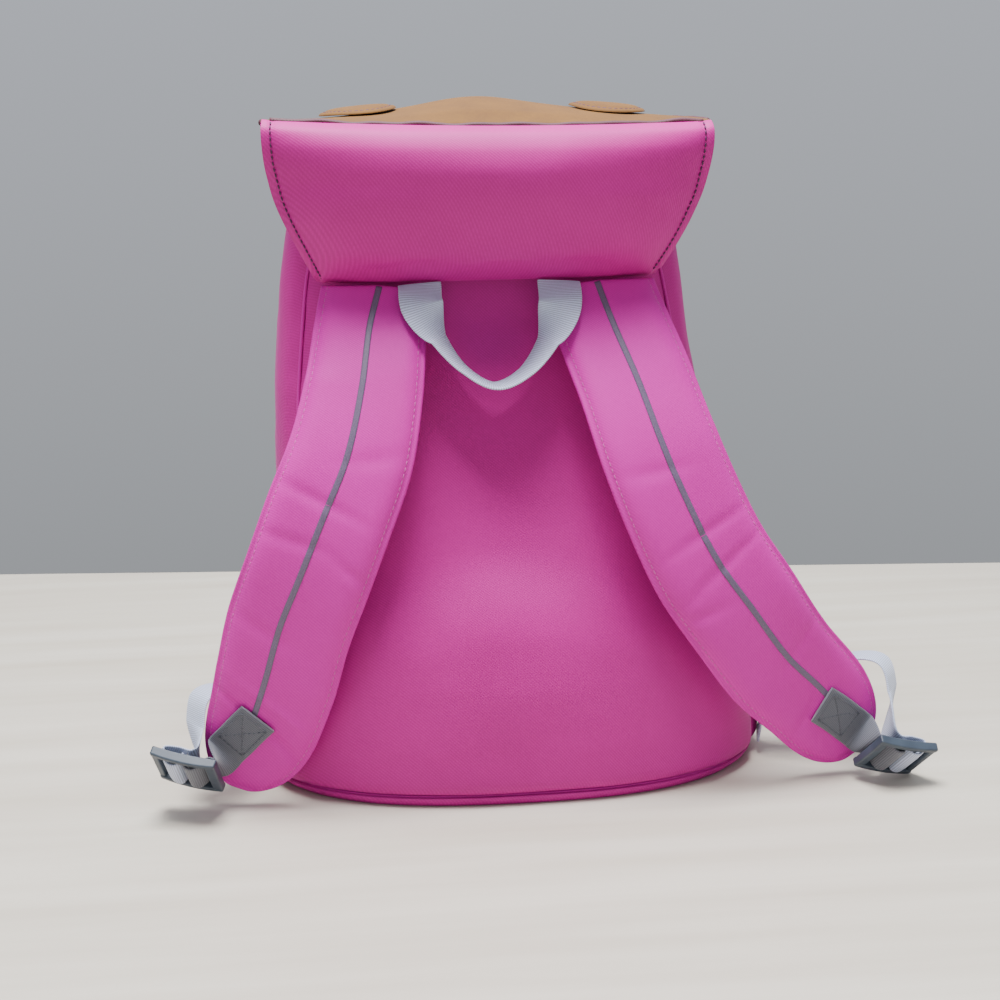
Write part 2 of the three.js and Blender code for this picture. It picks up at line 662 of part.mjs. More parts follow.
// Webbing's way through a buckle, as places along the buckle and outwards: over one bar from the slot on one
// side of it (way 1 or -1), into the next slot and a little past the frame's back.
const over_bar = (buckle_thickness + webbing_thickness) / 2 + buckle_play;
function overBar(bar, way) {
  const shoulder = buckle_bar / 2 + 0.7 * webbing_thickness / 2;
  const dive = buckle_bar / 2 + webbing_thickness;
  return [
    [bar - way * shoulder, 0.9 * over_bar], [bar, 1.1 * over_bar], [bar + way * shoulder, 0.9 * over_bar],
    [bar + way * dive, 0], [bar + way * dive, -0.9 * over_bar],
  ];
}

// How each strap's webbing is sewn on: its middle measured back from the strap's tip and out from the strap's
// middle, and the angle in degrees that it is turned outwards.
const patch_lie = {
  left: { back: patch_back_left, beside: patch_beside_left, turn: 24 },
  right: { back: patch_back_right, beside: patch_beside_right, turn: 20 },
};

// The strap's own webbing: sewn flat on the strap near its tip. It runs off the strap's edge, behind the
// buckle's broad end, and over the buckle's first bar.
function addPatch(side) {
  const curve = strapCurve(side);
  const length = curve.getLength();
  const matrix = buckleMatrix(side);
  const lie = patch_lie[side];
  const turn = lie.turn * degrees;
  const sewn = steps(3).map((step) => {
    const ahead = (step - 0.5) * patch_length;
    const frame = strapStation(side, curve, 1 - (lie.back - ahead * Math.cos(turn)) / length);
    const beside = sign[side] * (lie.beside + ahead * Math.sin(turn));
    return {
      point: frame.middle.clone().addScaledVector(frame.wide, beside)
        .addScaledVector(frame.out, frame.half_thick + patch_lift + webbing_thickness / 2),
      wide: frame.wide.clone().applyAxisAngle(frame.out, sign[side] * turn),
    };
  });
  const wide = vector(-1, 0, 0).transformDirection(matrix);
  const threaded = [
    [first_slot - buckle_block / 2, -1.15 * over_bar], [first_slot + webbing_thickness / 2, -over_bar],
    [first_slot + buckle_slot / 2, 0], ...overBar(strap_bar, 1),
  ].map(([along, out]) => ({ point: vector(0, along, out).applyMatrix4(matrix), wide }));
  addBand(`strap_webbing_${side}`, bandStations([...sewn, ...threaded], 44), webbing_width, webbing_thickness,
    colour.grey, 0.8);
}

// The lower webbing: sewn in at the body's lower corner, up behind the strap and over in a loose loop, then
// down behind the buckle, round through its last slot and over its second bar. The loop's places are shares of
// its own sizes, measured from the strap's tip.
const anchor_past_seam = 0.12;
const anchor_heights = [7, 20, 32];
const lower_webbing_rows = [
  { beside: 0.3, behind: 1.0, above: 1.02 },
  { beside: 0.8, behind: 0.43, above: 1.0 },
  { beside: 0.93, behind: 0.0, above: 0.74 },
];
const loop_wide = { left: vector(0.5, -0.85, 0.1), right: vector(0.5, 0.85, -0.1) };

function addLowerWebbing(side) {
  const tip = strapCurve(side).getPoint(1);
  const matrix = buckleMatrix(side);
  const anchor = anchor_heights.map((z) => {
    const angle = seamAngle(z) + anchor_past_seam;
    const lift = anchor_lift + webbing_thickness / 2;
    const point = ringPoint(angle, z, -lift);
    const tangent = ringPoint(angle + 0.01, z, -lift).sub(point).normalize();
    if (side === "left") point.x = 2 * bodyRing(z, 0).middle - point.x;
    return { point, wide: vector(tangent.x, sign[side] * tangent.y, 0) };
  });
  const loop = lower_webbing_rows.map((row) => ({
    point: vector(tip.x + sign[side] * loop_beside * row.beside, tip.y + loop_behind * row.behind,
      tip.z + loop_above * row.above),
    wide: loop_wide[side],
  }));
  const wide = vector(1, 0, 0).transformDirection(matrix);
  const last_slot = loop_bar + buckle_bar / 2 + buckle_slot;
  const behind = [[strap_bar + buckle_bar / 2, -1.7 * over_bar], [loop_bar, -1.6 * over_bar],
    [last_slot - webbing_thickness / 2, -1.2 * over_bar], [last_slot - webbing_thickness, -0.4 * over_bar],
    [last_slot - buckle_slot / 2, 0.4 * over_bar], ...overBar(loop_bar, -1)]
    .map(([along, out]) => ({ point: vector(0, along, out).applyMatrix4(matrix), wide }));
  addBand(`lower_webbing_${side}`, bandStations([...anchor, ...loop, ...behind], 60),
    webbing_width, webbing_thickness, colour.grey, 0.8);
}

for (const side of ["left", "right"]) {
  addBuckle(side);
  addPatch(side);
  addLowerWebbing(side);
}

// The carrying handle's loop, from root to root: shares of half its spacing, of its drop and of how far it
// stands off the panel, and how far it is turned edge-on.
const handle_rows = [
  { across: -1.0, drop: 0.0, off: 0.04, turn: 0 },
  { across: -0.98, drop: 0.2, off: 0.58, turn: 8 },
  { across: -0.76, drop: 0.53, off: 0.66, turn: 70 },
  { across: -0.42, drop: 0.83, off: 0.86, turn: 84 },
  { across: 0.02, drop: 1.0, off: 1.0, turn: 90 },
  { across: 0.45, drop: 0.88, off: 0.88, turn: 84 },
  { across: 0.8, drop: 0.58, off: 0.66, turn: 70 },
  { across: 0.98, drop: 0.22, off: 0.58, turn: 8 },
  { across: 1.0, drop: 0.0, off: 0.03, turn: 0 },
];

function addHandle() {
  const top = lid_seam_height - seat_gap;
  const strap_front = strapCurve("left").getPoint(0).y - strap_thickness / 4;
  const seat = strap_front - seat_gap - webbing_thickness / 2;
  const points = handle_rows.map((row) => vector(
    lid_middle + row.across * handle_spacing / 2,
    seat - row.off * handle_stand_off,
    top - row.drop * handle_drop,
  ));
  const curve = new THREE.CatmullRomCurve3(points, false, "centripetal");
  const stations = steps(28).map((share) => {
    const place = share * (handle_rows.length - 1);
    const i = Math.min(Math.floor(place), handle_rows.length - 2);
    const turn = (handle_rows[i].turn * (1 - place + i) + handle_rows[i + 1].turn * (place - i)) * degrees;
    const along = curve.getTangent(share).normalize();
    const wide = vector(0, -1, 0).cross(along).normalize().applyAxisAngle(along, -turn);
    const out = along.clone().cross(wide).normalize();
    return { middle: curve.getPoint(share), along, wide, out, lift: -webbing_thickness / 2 };
  });
  addBand("carry_handle", stations, webbing_width, webbing_thickness, colour.grey, 0.8);
}
addHandle();

export default object;
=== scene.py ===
from math import acos, copysign, cos, exp, hypot, pi, radians, sin, sqrt

import bmesh
import bpy
from mathutils import Matrix, Vector, noise


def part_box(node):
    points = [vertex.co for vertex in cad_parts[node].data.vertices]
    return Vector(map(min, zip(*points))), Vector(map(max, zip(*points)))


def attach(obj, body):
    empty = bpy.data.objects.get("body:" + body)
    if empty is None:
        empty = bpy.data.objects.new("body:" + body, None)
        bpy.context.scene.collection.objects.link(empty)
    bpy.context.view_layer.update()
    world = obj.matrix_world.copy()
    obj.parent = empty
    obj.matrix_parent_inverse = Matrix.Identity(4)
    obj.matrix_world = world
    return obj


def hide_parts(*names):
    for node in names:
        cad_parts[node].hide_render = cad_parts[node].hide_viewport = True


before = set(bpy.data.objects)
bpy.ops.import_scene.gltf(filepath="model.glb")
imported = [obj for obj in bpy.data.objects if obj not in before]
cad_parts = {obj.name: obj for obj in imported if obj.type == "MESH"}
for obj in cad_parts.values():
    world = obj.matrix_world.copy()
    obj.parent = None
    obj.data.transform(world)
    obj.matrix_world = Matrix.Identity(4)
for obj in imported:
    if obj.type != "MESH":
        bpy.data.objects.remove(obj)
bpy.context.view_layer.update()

mm = 0.001
scene = bpy.context.scene


# The camera, the lights and the table.
# The bag stands on a plain pale table top against a plain pale room, seen from its strap side and from
# a little above, under one broad soft light overhead with a weak fill from the far right.
camera_place = Vector((-0.068, -0.752, 0.307))
camera_azimuth, camera_elevation, camera_roll = (radians(a) for a in (-5.0, 13.0, 1.0))
lens_length, film_width, nearest = 54, 36, 0.05


def placed(name, data):
    """An object with this data, linked to the scene."""
    thing = bpy.data.objects.new(name, data)
    scene.collection.objects.link(thing)
    return thing


camera = placed("camera", bpy.data.cameras.new("camera"))
camera.data.lens = lens_length
camera.data.sensor_width = film_width
camera.data.clip_start = nearest
back = Vector((sin(camera_azimuth) * cos(camera_elevation),
               -cos(camera_azimuth) * cos(camera_elevation), sin(camera_elevation)))
level = Vector((cos(camera_azimuth), sin(camera_azimuth), 0))
raised = back.cross(level)
right = cos(camera_roll) * level - sin(camera_roll) * raised
upward = sin(camera_roll) * level + cos(camera_roll) * raised
camera.matrix_world = Matrix.Translation(camera_place) @ Matrix((right, upward, back)).transposed().to_4x4()
scene.camera = camera


def soft_light(name, place, aim, size, power, colour):
    """A square area light that points at a place."""
    light = bpy.data.lights.new(name, "AREA")
    light.size = size
    light.energy = power
    light.color = colour
    lamp = placed(name, light)
    lamp.location = place
    lamp.rotation_euler = (Vector(aim) - Vector(place)).to_track_quat("-Z", "Y").to_euler()


bag_middle = (0, 0, 0.12)
soft_light("ceiling_light", (-0.1, -0.2, 1.42), (0, -0.05, 0.12), 0.6, 62.0, (0.97, 0.98, 1.0))
soft_light("window_fill", (0.9, 0.9, 1.5), bag_middle, 1.4, 4.0, (0.95, 0.97, 1.0))

room = bpy.data.worlds.new("room")
room.use_nodes = True
sky = room.node_tree
facing = sky.nodes.new("ShaderNodeTexCoord")
parts = sky.nodes.new("ShaderNodeSeparateXYZ")
height = sky.nodes.new("ShaderNodeMapRange")
height.inputs["From Min"].default_value = -0.3
height.inputs["From Max"].default_value = 0.35
tone = sky.nodes.new("ShaderNodeValToRGB")
tone.color_ramp.elements[0].color = (0.36, 0.375, 0.395, 1)
tone.color_ramp.elements[1].color = (0.66, 0.69, 0.77, 1)
for source, target in ((facing.outputs["Generated"], parts.inputs["Vector"]),
                       (parts.outputs["Z"], height.inputs["Value"]),
                       (height.outputs["Result"], tone.inputs["Fac"]),
                       (tone.outputs["Color"], sky.nodes["Background"].inputs["Color"])):
    sky.links.new(source, target)
sky.nodes["Background"].inputs["Strength"].default_value = 0.9
scene.world = room


class Paint:
    """A material's node tree, with short words for adding nodes and joining them."""

    def __init__(self, name, colour, roughness):
        self.material = bpy.data.materials.new(name)
        self.material.use_nodes = True
        self.tree = self.material.node_tree
        self.shader = self.tree.nodes["Principled BSDF"]
        self.shader.inputs["Base Color"].default_value = (*colour, 1)
        self.shader.inputs["Roughness"].default_value = roughness
        self.material.diffuse_color = (*colour, 1)

    def add(self, kind, **settings):
        node = self.tree.nodes.new(kind)
        for key, value in settings.items():
            if hasattr(node, key):
                setattr(node, key, value)
            else:
                node.inputs[key.replace("_", " ")].default_value = value
        return node

    def join(self, out_node, out_name, in_node, in_name):
        self.tree.links.new(out_node.outputs[out_name], in_node.inputs[in_name])

    def place(self, scale=(1, 1, 1), turn=(0, 0, 0), source="Object"):
        where = self.add("ShaderNodeTexCoord")
        mapping = self.add("ShaderNodeMapping")
        mapping.inputs["Scale"].default_value = scale
        mapping.inputs["Rotation"].default_value = turn
        self.join(where, source, mapping, "Vector")
        return mapping

    def texture(self, kind, where=None, **settings):
        node = self.add(kind, **settings)
        self.join(where or self.place(), "Vector", node, "Vector")
        return node

    def math(self, operation, a, b=None):
        node = self.add("ShaderNodeMath", operation=operation)
        for i, value in enumerate((a, b)):
            if value is None:
                continue
            if isinstance(value, (int, float)):
                node.inputs[i].default_value = value
            else:
                self.tree.links.new(value, node.inputs[i])
        return node.outputs[0]

    def mixed(self, *parts):
        """The weighted sum of sockets, each given with its weight."""
        total = None
        for socket, weight in parts:
            scaled = self.math("MULTIPLY", socket, weight)
            total = scaled if total is None else self.math("ADD", total, scaled)
        return total

    def look(self, **settings):
        for key, value in settings.items():
            self.shader.inputs[key.replace("_", " ")].default_value = value

    def ramp(self, factor, stops):
        node = self.add("ShaderNodeValToRGB")
        while len(node.color_ramp.elements) < len(stops):
            node.color_ramp.elements.new(0.5)
        for element, (at, colour) in zip(node.color_ramp.elements, stops):
            element.position = at
            element.color = (*colour, 1)
        self.tree.links.new(factor, node.inputs["Fac"])
        return node.outputs["Color"]

    def colour(self, socket):
        self.tree.links.new(socket, self.shader.inputs["Base Color"])

    def bump(self, height, strength, distance, under=None):
        node = self.add("ShaderNodeBump")
        node.inputs["Strength"].default_value = strength
        node.inputs["Distance"].default_value = distance
        self.tree.links.new(height, node.inputs["Height"])
        if under is not None:
            self.tree.links.new(under, node.inputs["Normal"])
        self.tree.links.new(node.outputs["Normal"], self.shader.inputs["Normal"])
        return node.outputs["Normal"]


table_paint = Paint("pale table", (0.66, 0.61, 0.53), 0.55)
grain = table_paint.texture("ShaderNodeTexNoise", table_paint.place((0.35, 5.0, 1.0), (0, 0, radians(5))),
                            Scale=9.0, Detail=5.0)
table_paint.colour(table_paint.ramp(grain.outputs["Fac"],
                                    [(0.3, (0.49, 0.44, 0.36)), (0.7, (0.58, 0.54, 0.46))]))

table_far, table_near, table_side, table_board = 0.345, -1.6, 1.6, 0.03
table_turn = radians(-6.2)
bm = bmesh.new()
bmesh.ops.create_cube(bm, size=1)
bmesh.ops.scale(bm, verts=bm.verts, vec=(2 * table_side, table_far - table_near, table_board))
bmesh.ops.translate(bm, verts=bm.verts, vec=(0, (table_far + table_near) / 2, -table_board / 2))
bmesh.ops.rotate(bm, verts=bm.verts, matrix=Matrix.Rotation(table_turn, 3, "Z"))
bmesh.ops.bevel(bm, geom=bm.edges, offset=2 * mm, affect="EDGES", segments=2, profile=0.5, material=-1)


def mesh_of(name, bm):
    """A mesh in progress, made a mesh."""
    mesh = bpy.data.meshes.new(name)
    bm.to_mesh(mesh)
    bm.free()
    return mesh


table_top = placed("table_top", mesh_of("table_top", bm))
table_top.data.materials.append(table_paint.material)


# The bag's body: a padded back panel, two side gussets and a front panel, cut from twill and sewn together at
# four upright seams. Each panel rolls in towards its seams, with the small puckers that the thread pulls.
body_height, base_half_width, back_depth, front_depth = 300 * mm, 133 * mm, 86 * mm, 73 * mm
top_lean, base_height, cloth_wall, back_pad_wall = 10 * mm, 5 * mm, 2.4 * mm, 5 * mm
seam_gap, seam_dip, seam_roll = 0.35 * mm, 2.6 * mm, 11 * mm
hem_roll, hem_dip, pucker_reach, pucker_depth = 6 * mm, 1.6 * mm, 14 * mm, 0.32 * mm
front_seam_share = 0.62
quarter = pi / 2

# height share, half width, back, front, corner power, lean, side seam
body_rings = [
    (0.0, 0.93, 0.93, 0.92, 2.5, 0.0, 0.95),
    (0.03, 0.99, 0.98, 0.97, 2.55, 0.03, 0.955),
    (0.1, 0.985, 0.995, 0.99, 2.6, 0.1, 0.95),
    (0.2, 0.94, 1.0, 1.0, 2.6, 0.22, 0.935),
    (0.33, 0.88, 0.95, 0.99, 2.65, 0.38, 0.92),
    (0.5, 0.826, 0.825, 0.96, 2.75, 0.6, 0.91),
    (0.66, 0.8, 0.68, 0.92, 2.95, 0.82, 0.895),
    (0.83, 0.75, 0.535, 0.86, 3.2, 1.0, 0.88),
    (0.92, 0.71, 0.56, 0.82, 3.2, 1.0, 0.86),
    (1.0, 0.66, 0.58, 0.77, 3.1, 1.0, 0.84),
]


def eased(table, at, sharp=0.0):
    """A table's row at a value of its first column, on smooth lines between the rows."""
    at = min(max(at, table[0][0]), table[-1][0])
    i = max(j for j, row in enumerate(table[:-1]) if row[0] <= at)
    near, far = table[i], table[i + 1]
    before, after = table[max(i - 1, 0)], table[min(i + 2, len(table) - 1)]
    span = far[0] - near[0]
    share = (at - near[0]) / span
    out = []
    for k in range(1, len(near)):
        rise = (far[k] - near[k]) / span
        first = rise if before is near else (far[k] - before[k]) / (far[0] - before[0])
        last = rise if after is far else (after[k] - near[k]) / (after[0] - near[0])
        t = share
        value = ((2 * t ** 3 - 3 * t ** 2 + 1) * near[k] + (t ** 3 - 2 * t ** 2 + t) * first * span
                 + (-2 * t ** 3 + 3 * t ** 2) * far[k] + (t ** 3 - t ** 2) * last * span)
        straight = near[k] + rise * span * t
        out.append(value * (1 - sharp) + straight * sharp)
    return out


def ring_point(angle, z, inset):
    """The body's outer point at an angle from +X towards +Y, set in by some way."""
    width, rear, front, corner, lean, _ = eased(body_rings, z / body_height, 0.5)
    power = 2 / corner
    c, s = cos(angle), sin(angle)
    across = copysign(abs(c) ** power, c)
    along = copysign(abs(s) ** power, s)
    depth = rear * back_depth if along < 0 else front * front_depth
    return Vector((-lean * top_lean + (width * base_half_width - inset) * across, (depth - inset) * along, z))


def seam_angle(z):
    row = eased(body_rings, z / body_height, 0.5)
    return -acos(row[5] ** (row[3] / 2))


def body_side(x, z, front=False):
    """How far the back or the front of the body lies from the middle plane at x and z."""
    width, rear, fore, corner, lean, _ = eased(body_rings, z / body_height, 0.5)
    share = min(abs(x + lean * top_lean) / (width * base_half_width), 0.97)
    return (fore * front_depth if front else -rear * back_depth) * (1 - share ** corner) ** (1 / corner)


def bell(value, width):
    return exp(-(value / width) ** 2)


# Above the stuffed lower part the back panel hangs in a little, from a soft lip upwards.
sag_lip, sag_slope, sag_depth = 72 * mm, 46 * mm, 8.5 * mm

# Soft dents and swells in the body's cloth: place x, y, z, reach and depth outwards, in millimetres.
body_folds = [
    (-30, -74, 150, 26, -1.1), (28, -70, 138, 30, -0.9), (60, -78, 92, 34, 1.2), (-62, -78, 84, 36, 1.0),
    (0, -86, 44, 44, 1.0), (96, -40, 66, 26, -1.6), (-100, -38, 72, 26, -1.5), (84, -10, 214, 20, -1.8),
    (92, 10, 150, 28, 1.4), (-92, 12, 158, 28, 1.6), (-86, -12, 216, 20, -1.6), (116, 20, 40, 24, 1.2),
    (-116, 20, 42, 24, 1.2), (30, 72, 70, 34, 1.2), (-46, 72, 96, 30, -1.2), (10, 70, 150, 26, 1.0),
]


def cloth_fold(point):
    """How far the body's cloth stands out at a point, from its folds and a fine unevenness."""
    out = sum(depth * mm * bell((point - Vector((x, y, z)) * mm).length, reach * mm)
              for x, y, z, reach, depth in body_folds)
    out += 0.55 * mm * noise.noise(point * 26) + 0.14 * mm * noise.noise(point * 95)
    if point.y < 0:
        lip = sag_lip + 10 * mm * bell(point.x, 60 * mm) - 14 * mm * noise.noise(Vector((point.x * 12, 0, 5)))
        fall = min(1, max(0, (point.z - lip) / sag_slope))
        fade = min(1, max(0, (body_height - point.z) / (70 * mm)))
        out -= sag_depth * fall * fall * (3 - 2 * fall) * fade * bell(point.x + 6 * mm, 74 * mm)
    return out


def finished(name, bm, material, nodes=(), wall=0.0, levels=1, smooth=True):
    """A piece of the bag from a mesh in progress: its material, its wall, its place in the frame."""
    piece = placed(name, mesh_of(name, bm))
    piece.data.materials.append(material)
    if smooth:
        piece.data.shade_smooth()
    if wall:
        thick = piece.modifiers.new("wall", "SOLIDIFY")
        thick.thickness = wall
        thick.offset = -1
    if levels:
        subdivided = piece.modifiers.new("smooth", "SUBSURF")
        subdivided.levels = levels
        subdivided.render_levels = levels
    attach(piece, "root")
    if nodes:
        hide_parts(*nodes)
    return piece


def grid_on(surface, columns, rows):
    """A grid whose places 0..1 across and 0..1 along are moved to a surface."""
    bm = bmesh.new()
    bm.loops.layers.uv.verify()
    bmesh.ops.create_grid(bm, x_segments=columns, y_segments=rows, size=0.5, calc_uvs=True)
    for vertex in bm.verts:
        vertex.co = surface(vertex.co.x + 0.5, vertex.co.y + 0.5)
    return bm


def grid_over(surface, columns, rows, inside):
    """A grid on a surface, facing away from a place inside."""
    bm = grid_on(surface, columns, rows)
    bm.normal_update()
    away = sum((face.calc_center_median() - inside).dot(face.normal) * face.calc_area() for face in bm.faces)
    if away < 0:
        bmesh.ops.reverse_faces(bm, faces=bm.faces)
    return bm


def twill(name, colour, deep, pitch=1.15 * mm, rough=0.62):
    """A twill weave: diagonal ribs broken by the weft, slightly uneven in tone, its low lines painted darker as
    painted shade, with a soft satin sheen.
    """
    paint = Paint(name, colour, rough)
    per_metre = 2 * pi / (10 * sqrt(2) * pitch)
    rib = paint.texture("ShaderNodeTexWave", bands_direction="DIAGONAL", Scale=per_metre, Distortion=0.6)
    rib.inputs["Detail Scale"].default_value = 2.0
    weft = paint.texture("ShaderNodeTexWave", paint.place((-1, 1, 1)), bands_direction="DIAGONAL",
                         Scale=per_metre * 0.8, Distortion=0.4)
    weave = paint.math("MULTIPLY", rib.outputs["Fac"], paint.math("MULTIPLY_ADD", weft.outputs["Fac"], 0.45))
    cloud = paint.texture("ShaderNodeTexNoise", Scale=16.0, Detail=4.0)
    fleck = paint.texture("ShaderNodeTexNoise", Scale=900.0, Detail=2.0)
    # The weave's share of the tone darkens the weave's low lines as painted shade; the cloud and fleck are random
    # tone.
    tone = paint.mixed((cloud.outputs["Fac"], 0.45), (fleck.outputs["Fac"], 0.25), (weave, 0.3))
    paint.colour(paint.ramp(tone, [(0.25, deep), (0.65, colour)]))
    paint.bump(weave, 0.35, 0.12 * mm)
    paint.look(Sheen_Weight=0.05, Sheen_Roughness=0.3, Sheen_Tint=(1.0, 0.6, 0.95, 1), Specular_IOR_Level=0.35)
    return paint.material


pink = (0.49, 0.001, 0.25)
pink_deep = (0.37, 0.0006, 0.175)
body_cloth = twill("pink twill", pink, pink_deep)
panel_foot = base_height + seam_gap


def body_panel(name, first, last, columns, rows, wall):
    """One panel of the body between two seams, whose angles follow the height."""
    def surface(u, v):
        z = panel_foot + (body_height - panel_foot) * v ** 1.06
        start, end = first(z), last(z)
        girth = (ring_point(start, z, 0) - ring_point(start + 0.01, z, 0)).length / 0.01
        pull = seam_gap / 2 / girth
        angle = start + pull + (end - start - 2 * pull) * u
        edge = min(u, 1 - u) * (end - start) * girth
        dip = seam_dip * max(0, 1 - edge / seam_roll) ** 2
        dip += hem_dip * max(0, 1 - (z - panel_foot) / hem_roll) ** 2
        point = ring_point(angle, z, dip)
        ripple = sin(z / (3.1 * mm) + 3 * noise.noise(Vector((z * 60, start, 0))))
        out = cloth_fold(point) + pucker_depth * ripple * max(0, 1 - edge / pucker_reach) ** 1.5
        centre = Vector((point.x * 0.15, 0, z))
        return point + (point - centre).normalized() * out * min(1, edge / (6 * mm) + 0.25)
    bm = grid_over(surface, columns, rows, Vector((0, 0, 0.15)))
    return finished(name, bm, body_cloth, [name], wall, 1)


def back_left(z):
    return -pi - seam_angle(z)


def front_right(z):
    return quarter - quarter * front_seam_share


def front_left(z):
    return quarter + quarter * front_seam_share


back_panel = body_panel("back_panel", back_left, seam_angle, 72, 84, back_pad_wall)
body_panel("side_gusset_right", seam_angle, front_right, 32, 84, cloth_wall)
body_panel("front_panel", front_right, front_left, 56, 72, cloth_wall)
body_panel("side_gusset_left", front_left, lambda z: 2 * pi + back_left(z), 32, 84, cloth_wall)


# The base: one flat panel of the same twill with a low wall turned up all round, which the other panels are
# sewn to from above.
def base_surface(u, v):
    turn = 2 * pi * u
    if v < 0.5:
        rim = ring_point(turn, 0, 0)
        return Vector((rim.x * v * 2, rim.y * v * 2, 0)).lerp(rim, max(0, v * 2 - 0.9) * 10)
    rise = (v - 0.5) * 2
    return ring_point(turn, base_height * rise, -0.8 * mm * sin(pi * rise))


bm = grid_over(base_surface, 96, 16, Vector((0, 0, 0.1)))
bmesh.ops.remove_doubles(bm, verts=bm.verts, dist=0.01 * mm)
finished("base_panel", bm, body_cloth, ["base_panel"], cloth_wall, 0)


def tube(name, points, radius, material, closed=False):
    """A round cord of cloth along a line of points."""
    curve = bpy.data.curves.new(name, "CURVE")
    curve.dimensions = "3D"
    curve.bevel_depth = radius
    curve.bevel_resolution = 3
    curve.use_fill_caps = not closed
    spline = curve.splines.new("POLY")
    spline.points.add(len(points) - 1)
    for place, point in zip(spline.points, points):
        place.co = (*point, 1)
    spline.use_cyclic_u = closed
    drawn = placed(name + "_line", curve)
    mesh = bpy.data.meshes.new_from_object(drawn.evaluated_get(bpy.context.evaluated_depsgraph_get()))
    bpy.data.objects.remove(drawn)
    bm = bmesh.new()
    bm.from_mesh(mesh)
    bmesh.ops.remove_doubles(bm, verts=bm.verts, dist=0.001 * mm)
    bmesh.ops.recalc_face_normals(bm, faces=bm.faces)
    return finished(name, bm, material, levels=0)


# The piping: a thin cord of the same cloth sewn into the side seams and round the foot of the panels, where it
# catches the light; its pink is painted lighter than the panels' as a painted highlight.
piping_cloth_painted_highlight = twill("pink piping painted highlight", (0.58, 0.006, 0.34), (0.46, 0.003, 0.25), 0.8 * mm)
piping_radius = 0.9 * mm


def seam_line(angle_at, low, high, count):
    heights = [low + (high - low) * i / (count - 1) for i in range(count)]
    return [ring_point(angle_at(z), z, seam_dip + 0.2 * mm) for z in heights]


piping_top, foot_radius = 292 * mm, 0.75 * mm
for name, seam in (("piping_right", seam_angle), ("piping_left", back_left)):
    tube(name, seam_line(seam, panel_foot, piping_top, 90), piping_radius, piping_cloth_painted_highlight)
foot_ring = [ring_point(2 * pi * i / 160, base_height + 0.2 * mm, hem_dip + 0.5 * mm) for i in range(160)]
tube("piping_foot", foot_ring, foot_radius, piping_cloth_painted_highlight, closed=True)


# Stitches: short bars of thread laid end to end with small gaps, pressed a little into the cloth.
def thread_paint(name, colour):
    paint = Paint(name, colour, 0.55)
    ply = paint.texture("ShaderNodeTexWave", bands_direction="DIAGONAL", Scale=900.0)
    paint.colour(paint.ramp(ply.outputs["Fac"], [(0.2, tuple(c * 0.6 for c in colour)), (0.8, colour)]))
    paint.bump(ply.outputs["Fac"], 0.4, 0.05 * mm)
    return paint.material


dark_thread = thread_paint("plum thread", (0.075, 0.008, 0.06))
pink_thread = thread_paint("pink thread", (0.62, 0.1, 0.4))
grey_thread = thread_paint("grey thread", (0.10, 0.105, 0.13))


def stitch_row(name, line, material, pitch=3.0 * mm, gap=0.7 * mm, thick=0.32 * mm):
    """A row of stitches along a line of points that lies on the cloth."""
    lengths = [0.0]
    for a, b in zip(line, line[1:]):
        lengths.append(lengths[-1] + (b - a).length)

    def at(distance):
        i = max(j for j in range(len(line) - 1) if lengths[j] <= distance or j == 0)
        share = (distance - lengths[i]) / max(lengths[i + 1] - lengths[i], 1e-9)
        return line[i].lerp(line[i + 1], min(max(share, 0), 1))

    bm = bmesh.new()
    count = max(1, int(lengths[-1] / pitch))
    step = lengths[-1] / count
    for i in range(count):
        a, b = at(i * step + gap / 2), at((i + 1) * step - gap / 2)
        along = b - a
        turn = along.to_track_quat("Z", "Y").to_matrix().to_4x4()
        size = Matrix.Diagonal((thick, thick, along.length / 2, 1))
        bmesh.ops.create_uvsphere(bm, u_segments=6, v_segments=5, radius=1,
                                  matrix=Matrix.Translation((a + b) / 2) @ turn @ size)
    return finished(name, bm, material, levels=0)


# The lid's back: one sheet of twill that rises from its seam across the back panel, leans out over the
# straps and rolls over at the top. Its side edges are turned under and sewn down with dark thread.
lid_seam_height, lid_rise, lid_lean_out, lid_half_width = 249 * mm, 73 * mm, 34 * mm, 100.5 * mm
lid_wall, lid_side_curl, lid_tilt, lid_middle_sag = 3.2 * mm, 7 * mm, 1.6 * mm, 2.2 * mm
lid_side_roll, crown_swell, flap_drop, seat_gap = 4 * mm, 8 * mm, 122 * mm, 0.3 * mm
lid_middle = -top_lean
lid_back_rows = [
    (0.0, 0.0, 0.795, 0.0), (0.07, 0.24, 0.815, 0.1), (0.19, 0.53, 0.855, 0.35), (0.38, 0.8, 0.92, 0.7),
    (0.55, 0.95, 0.97, 1.0), (0.71, 1.0, 0.992, 1.0), (0.85, 0.97, 1.0, 0.8), (0.95, 0.83, 1.0, 0.5),
    (1.0, 0.6, 0.996, 0.3),
]
hem_in, hem_proud = 4.2 * mm, 0.5 * mm

# Soft creases in the lid's back: share across, share up, reach across and up, depth outwards in millimetres.
lid_creases = [
    (-0.62, 0.62, 0.5, 0.1, -0.9), (0.1, 0.7, 0.45, 0.12, 1.1), (0.55, 0.66, 0.4, 0.1, -0.8),
    (0.0, 0.35, 0.6, 0.2, -1.2), (-0.5, 0.2, 0.3, 0.14, 0.9), (0.62, 0.25, 0.3, 0.16, 1.0),
]


def lid_back_point(u, v):
    out, half, curl = eased(lid_back_rows, v, 0.3)
    x = lid_middle + half * lid_half_width * u
    seat = body_side(x, lid_seam_height) * (1 - v) + body_side(lid_middle, lid_seam_height) * v
    y = seat - seat_gap - lid_wall - out * lid_lean_out + curl * lid_side_curl * abs(u) ** 3
    z = lid_seam_height + lid_rise * v - lid_tilt * u * v - lid_middle_sag * v * (1 - u * u)
    return Vector((x, y, z))


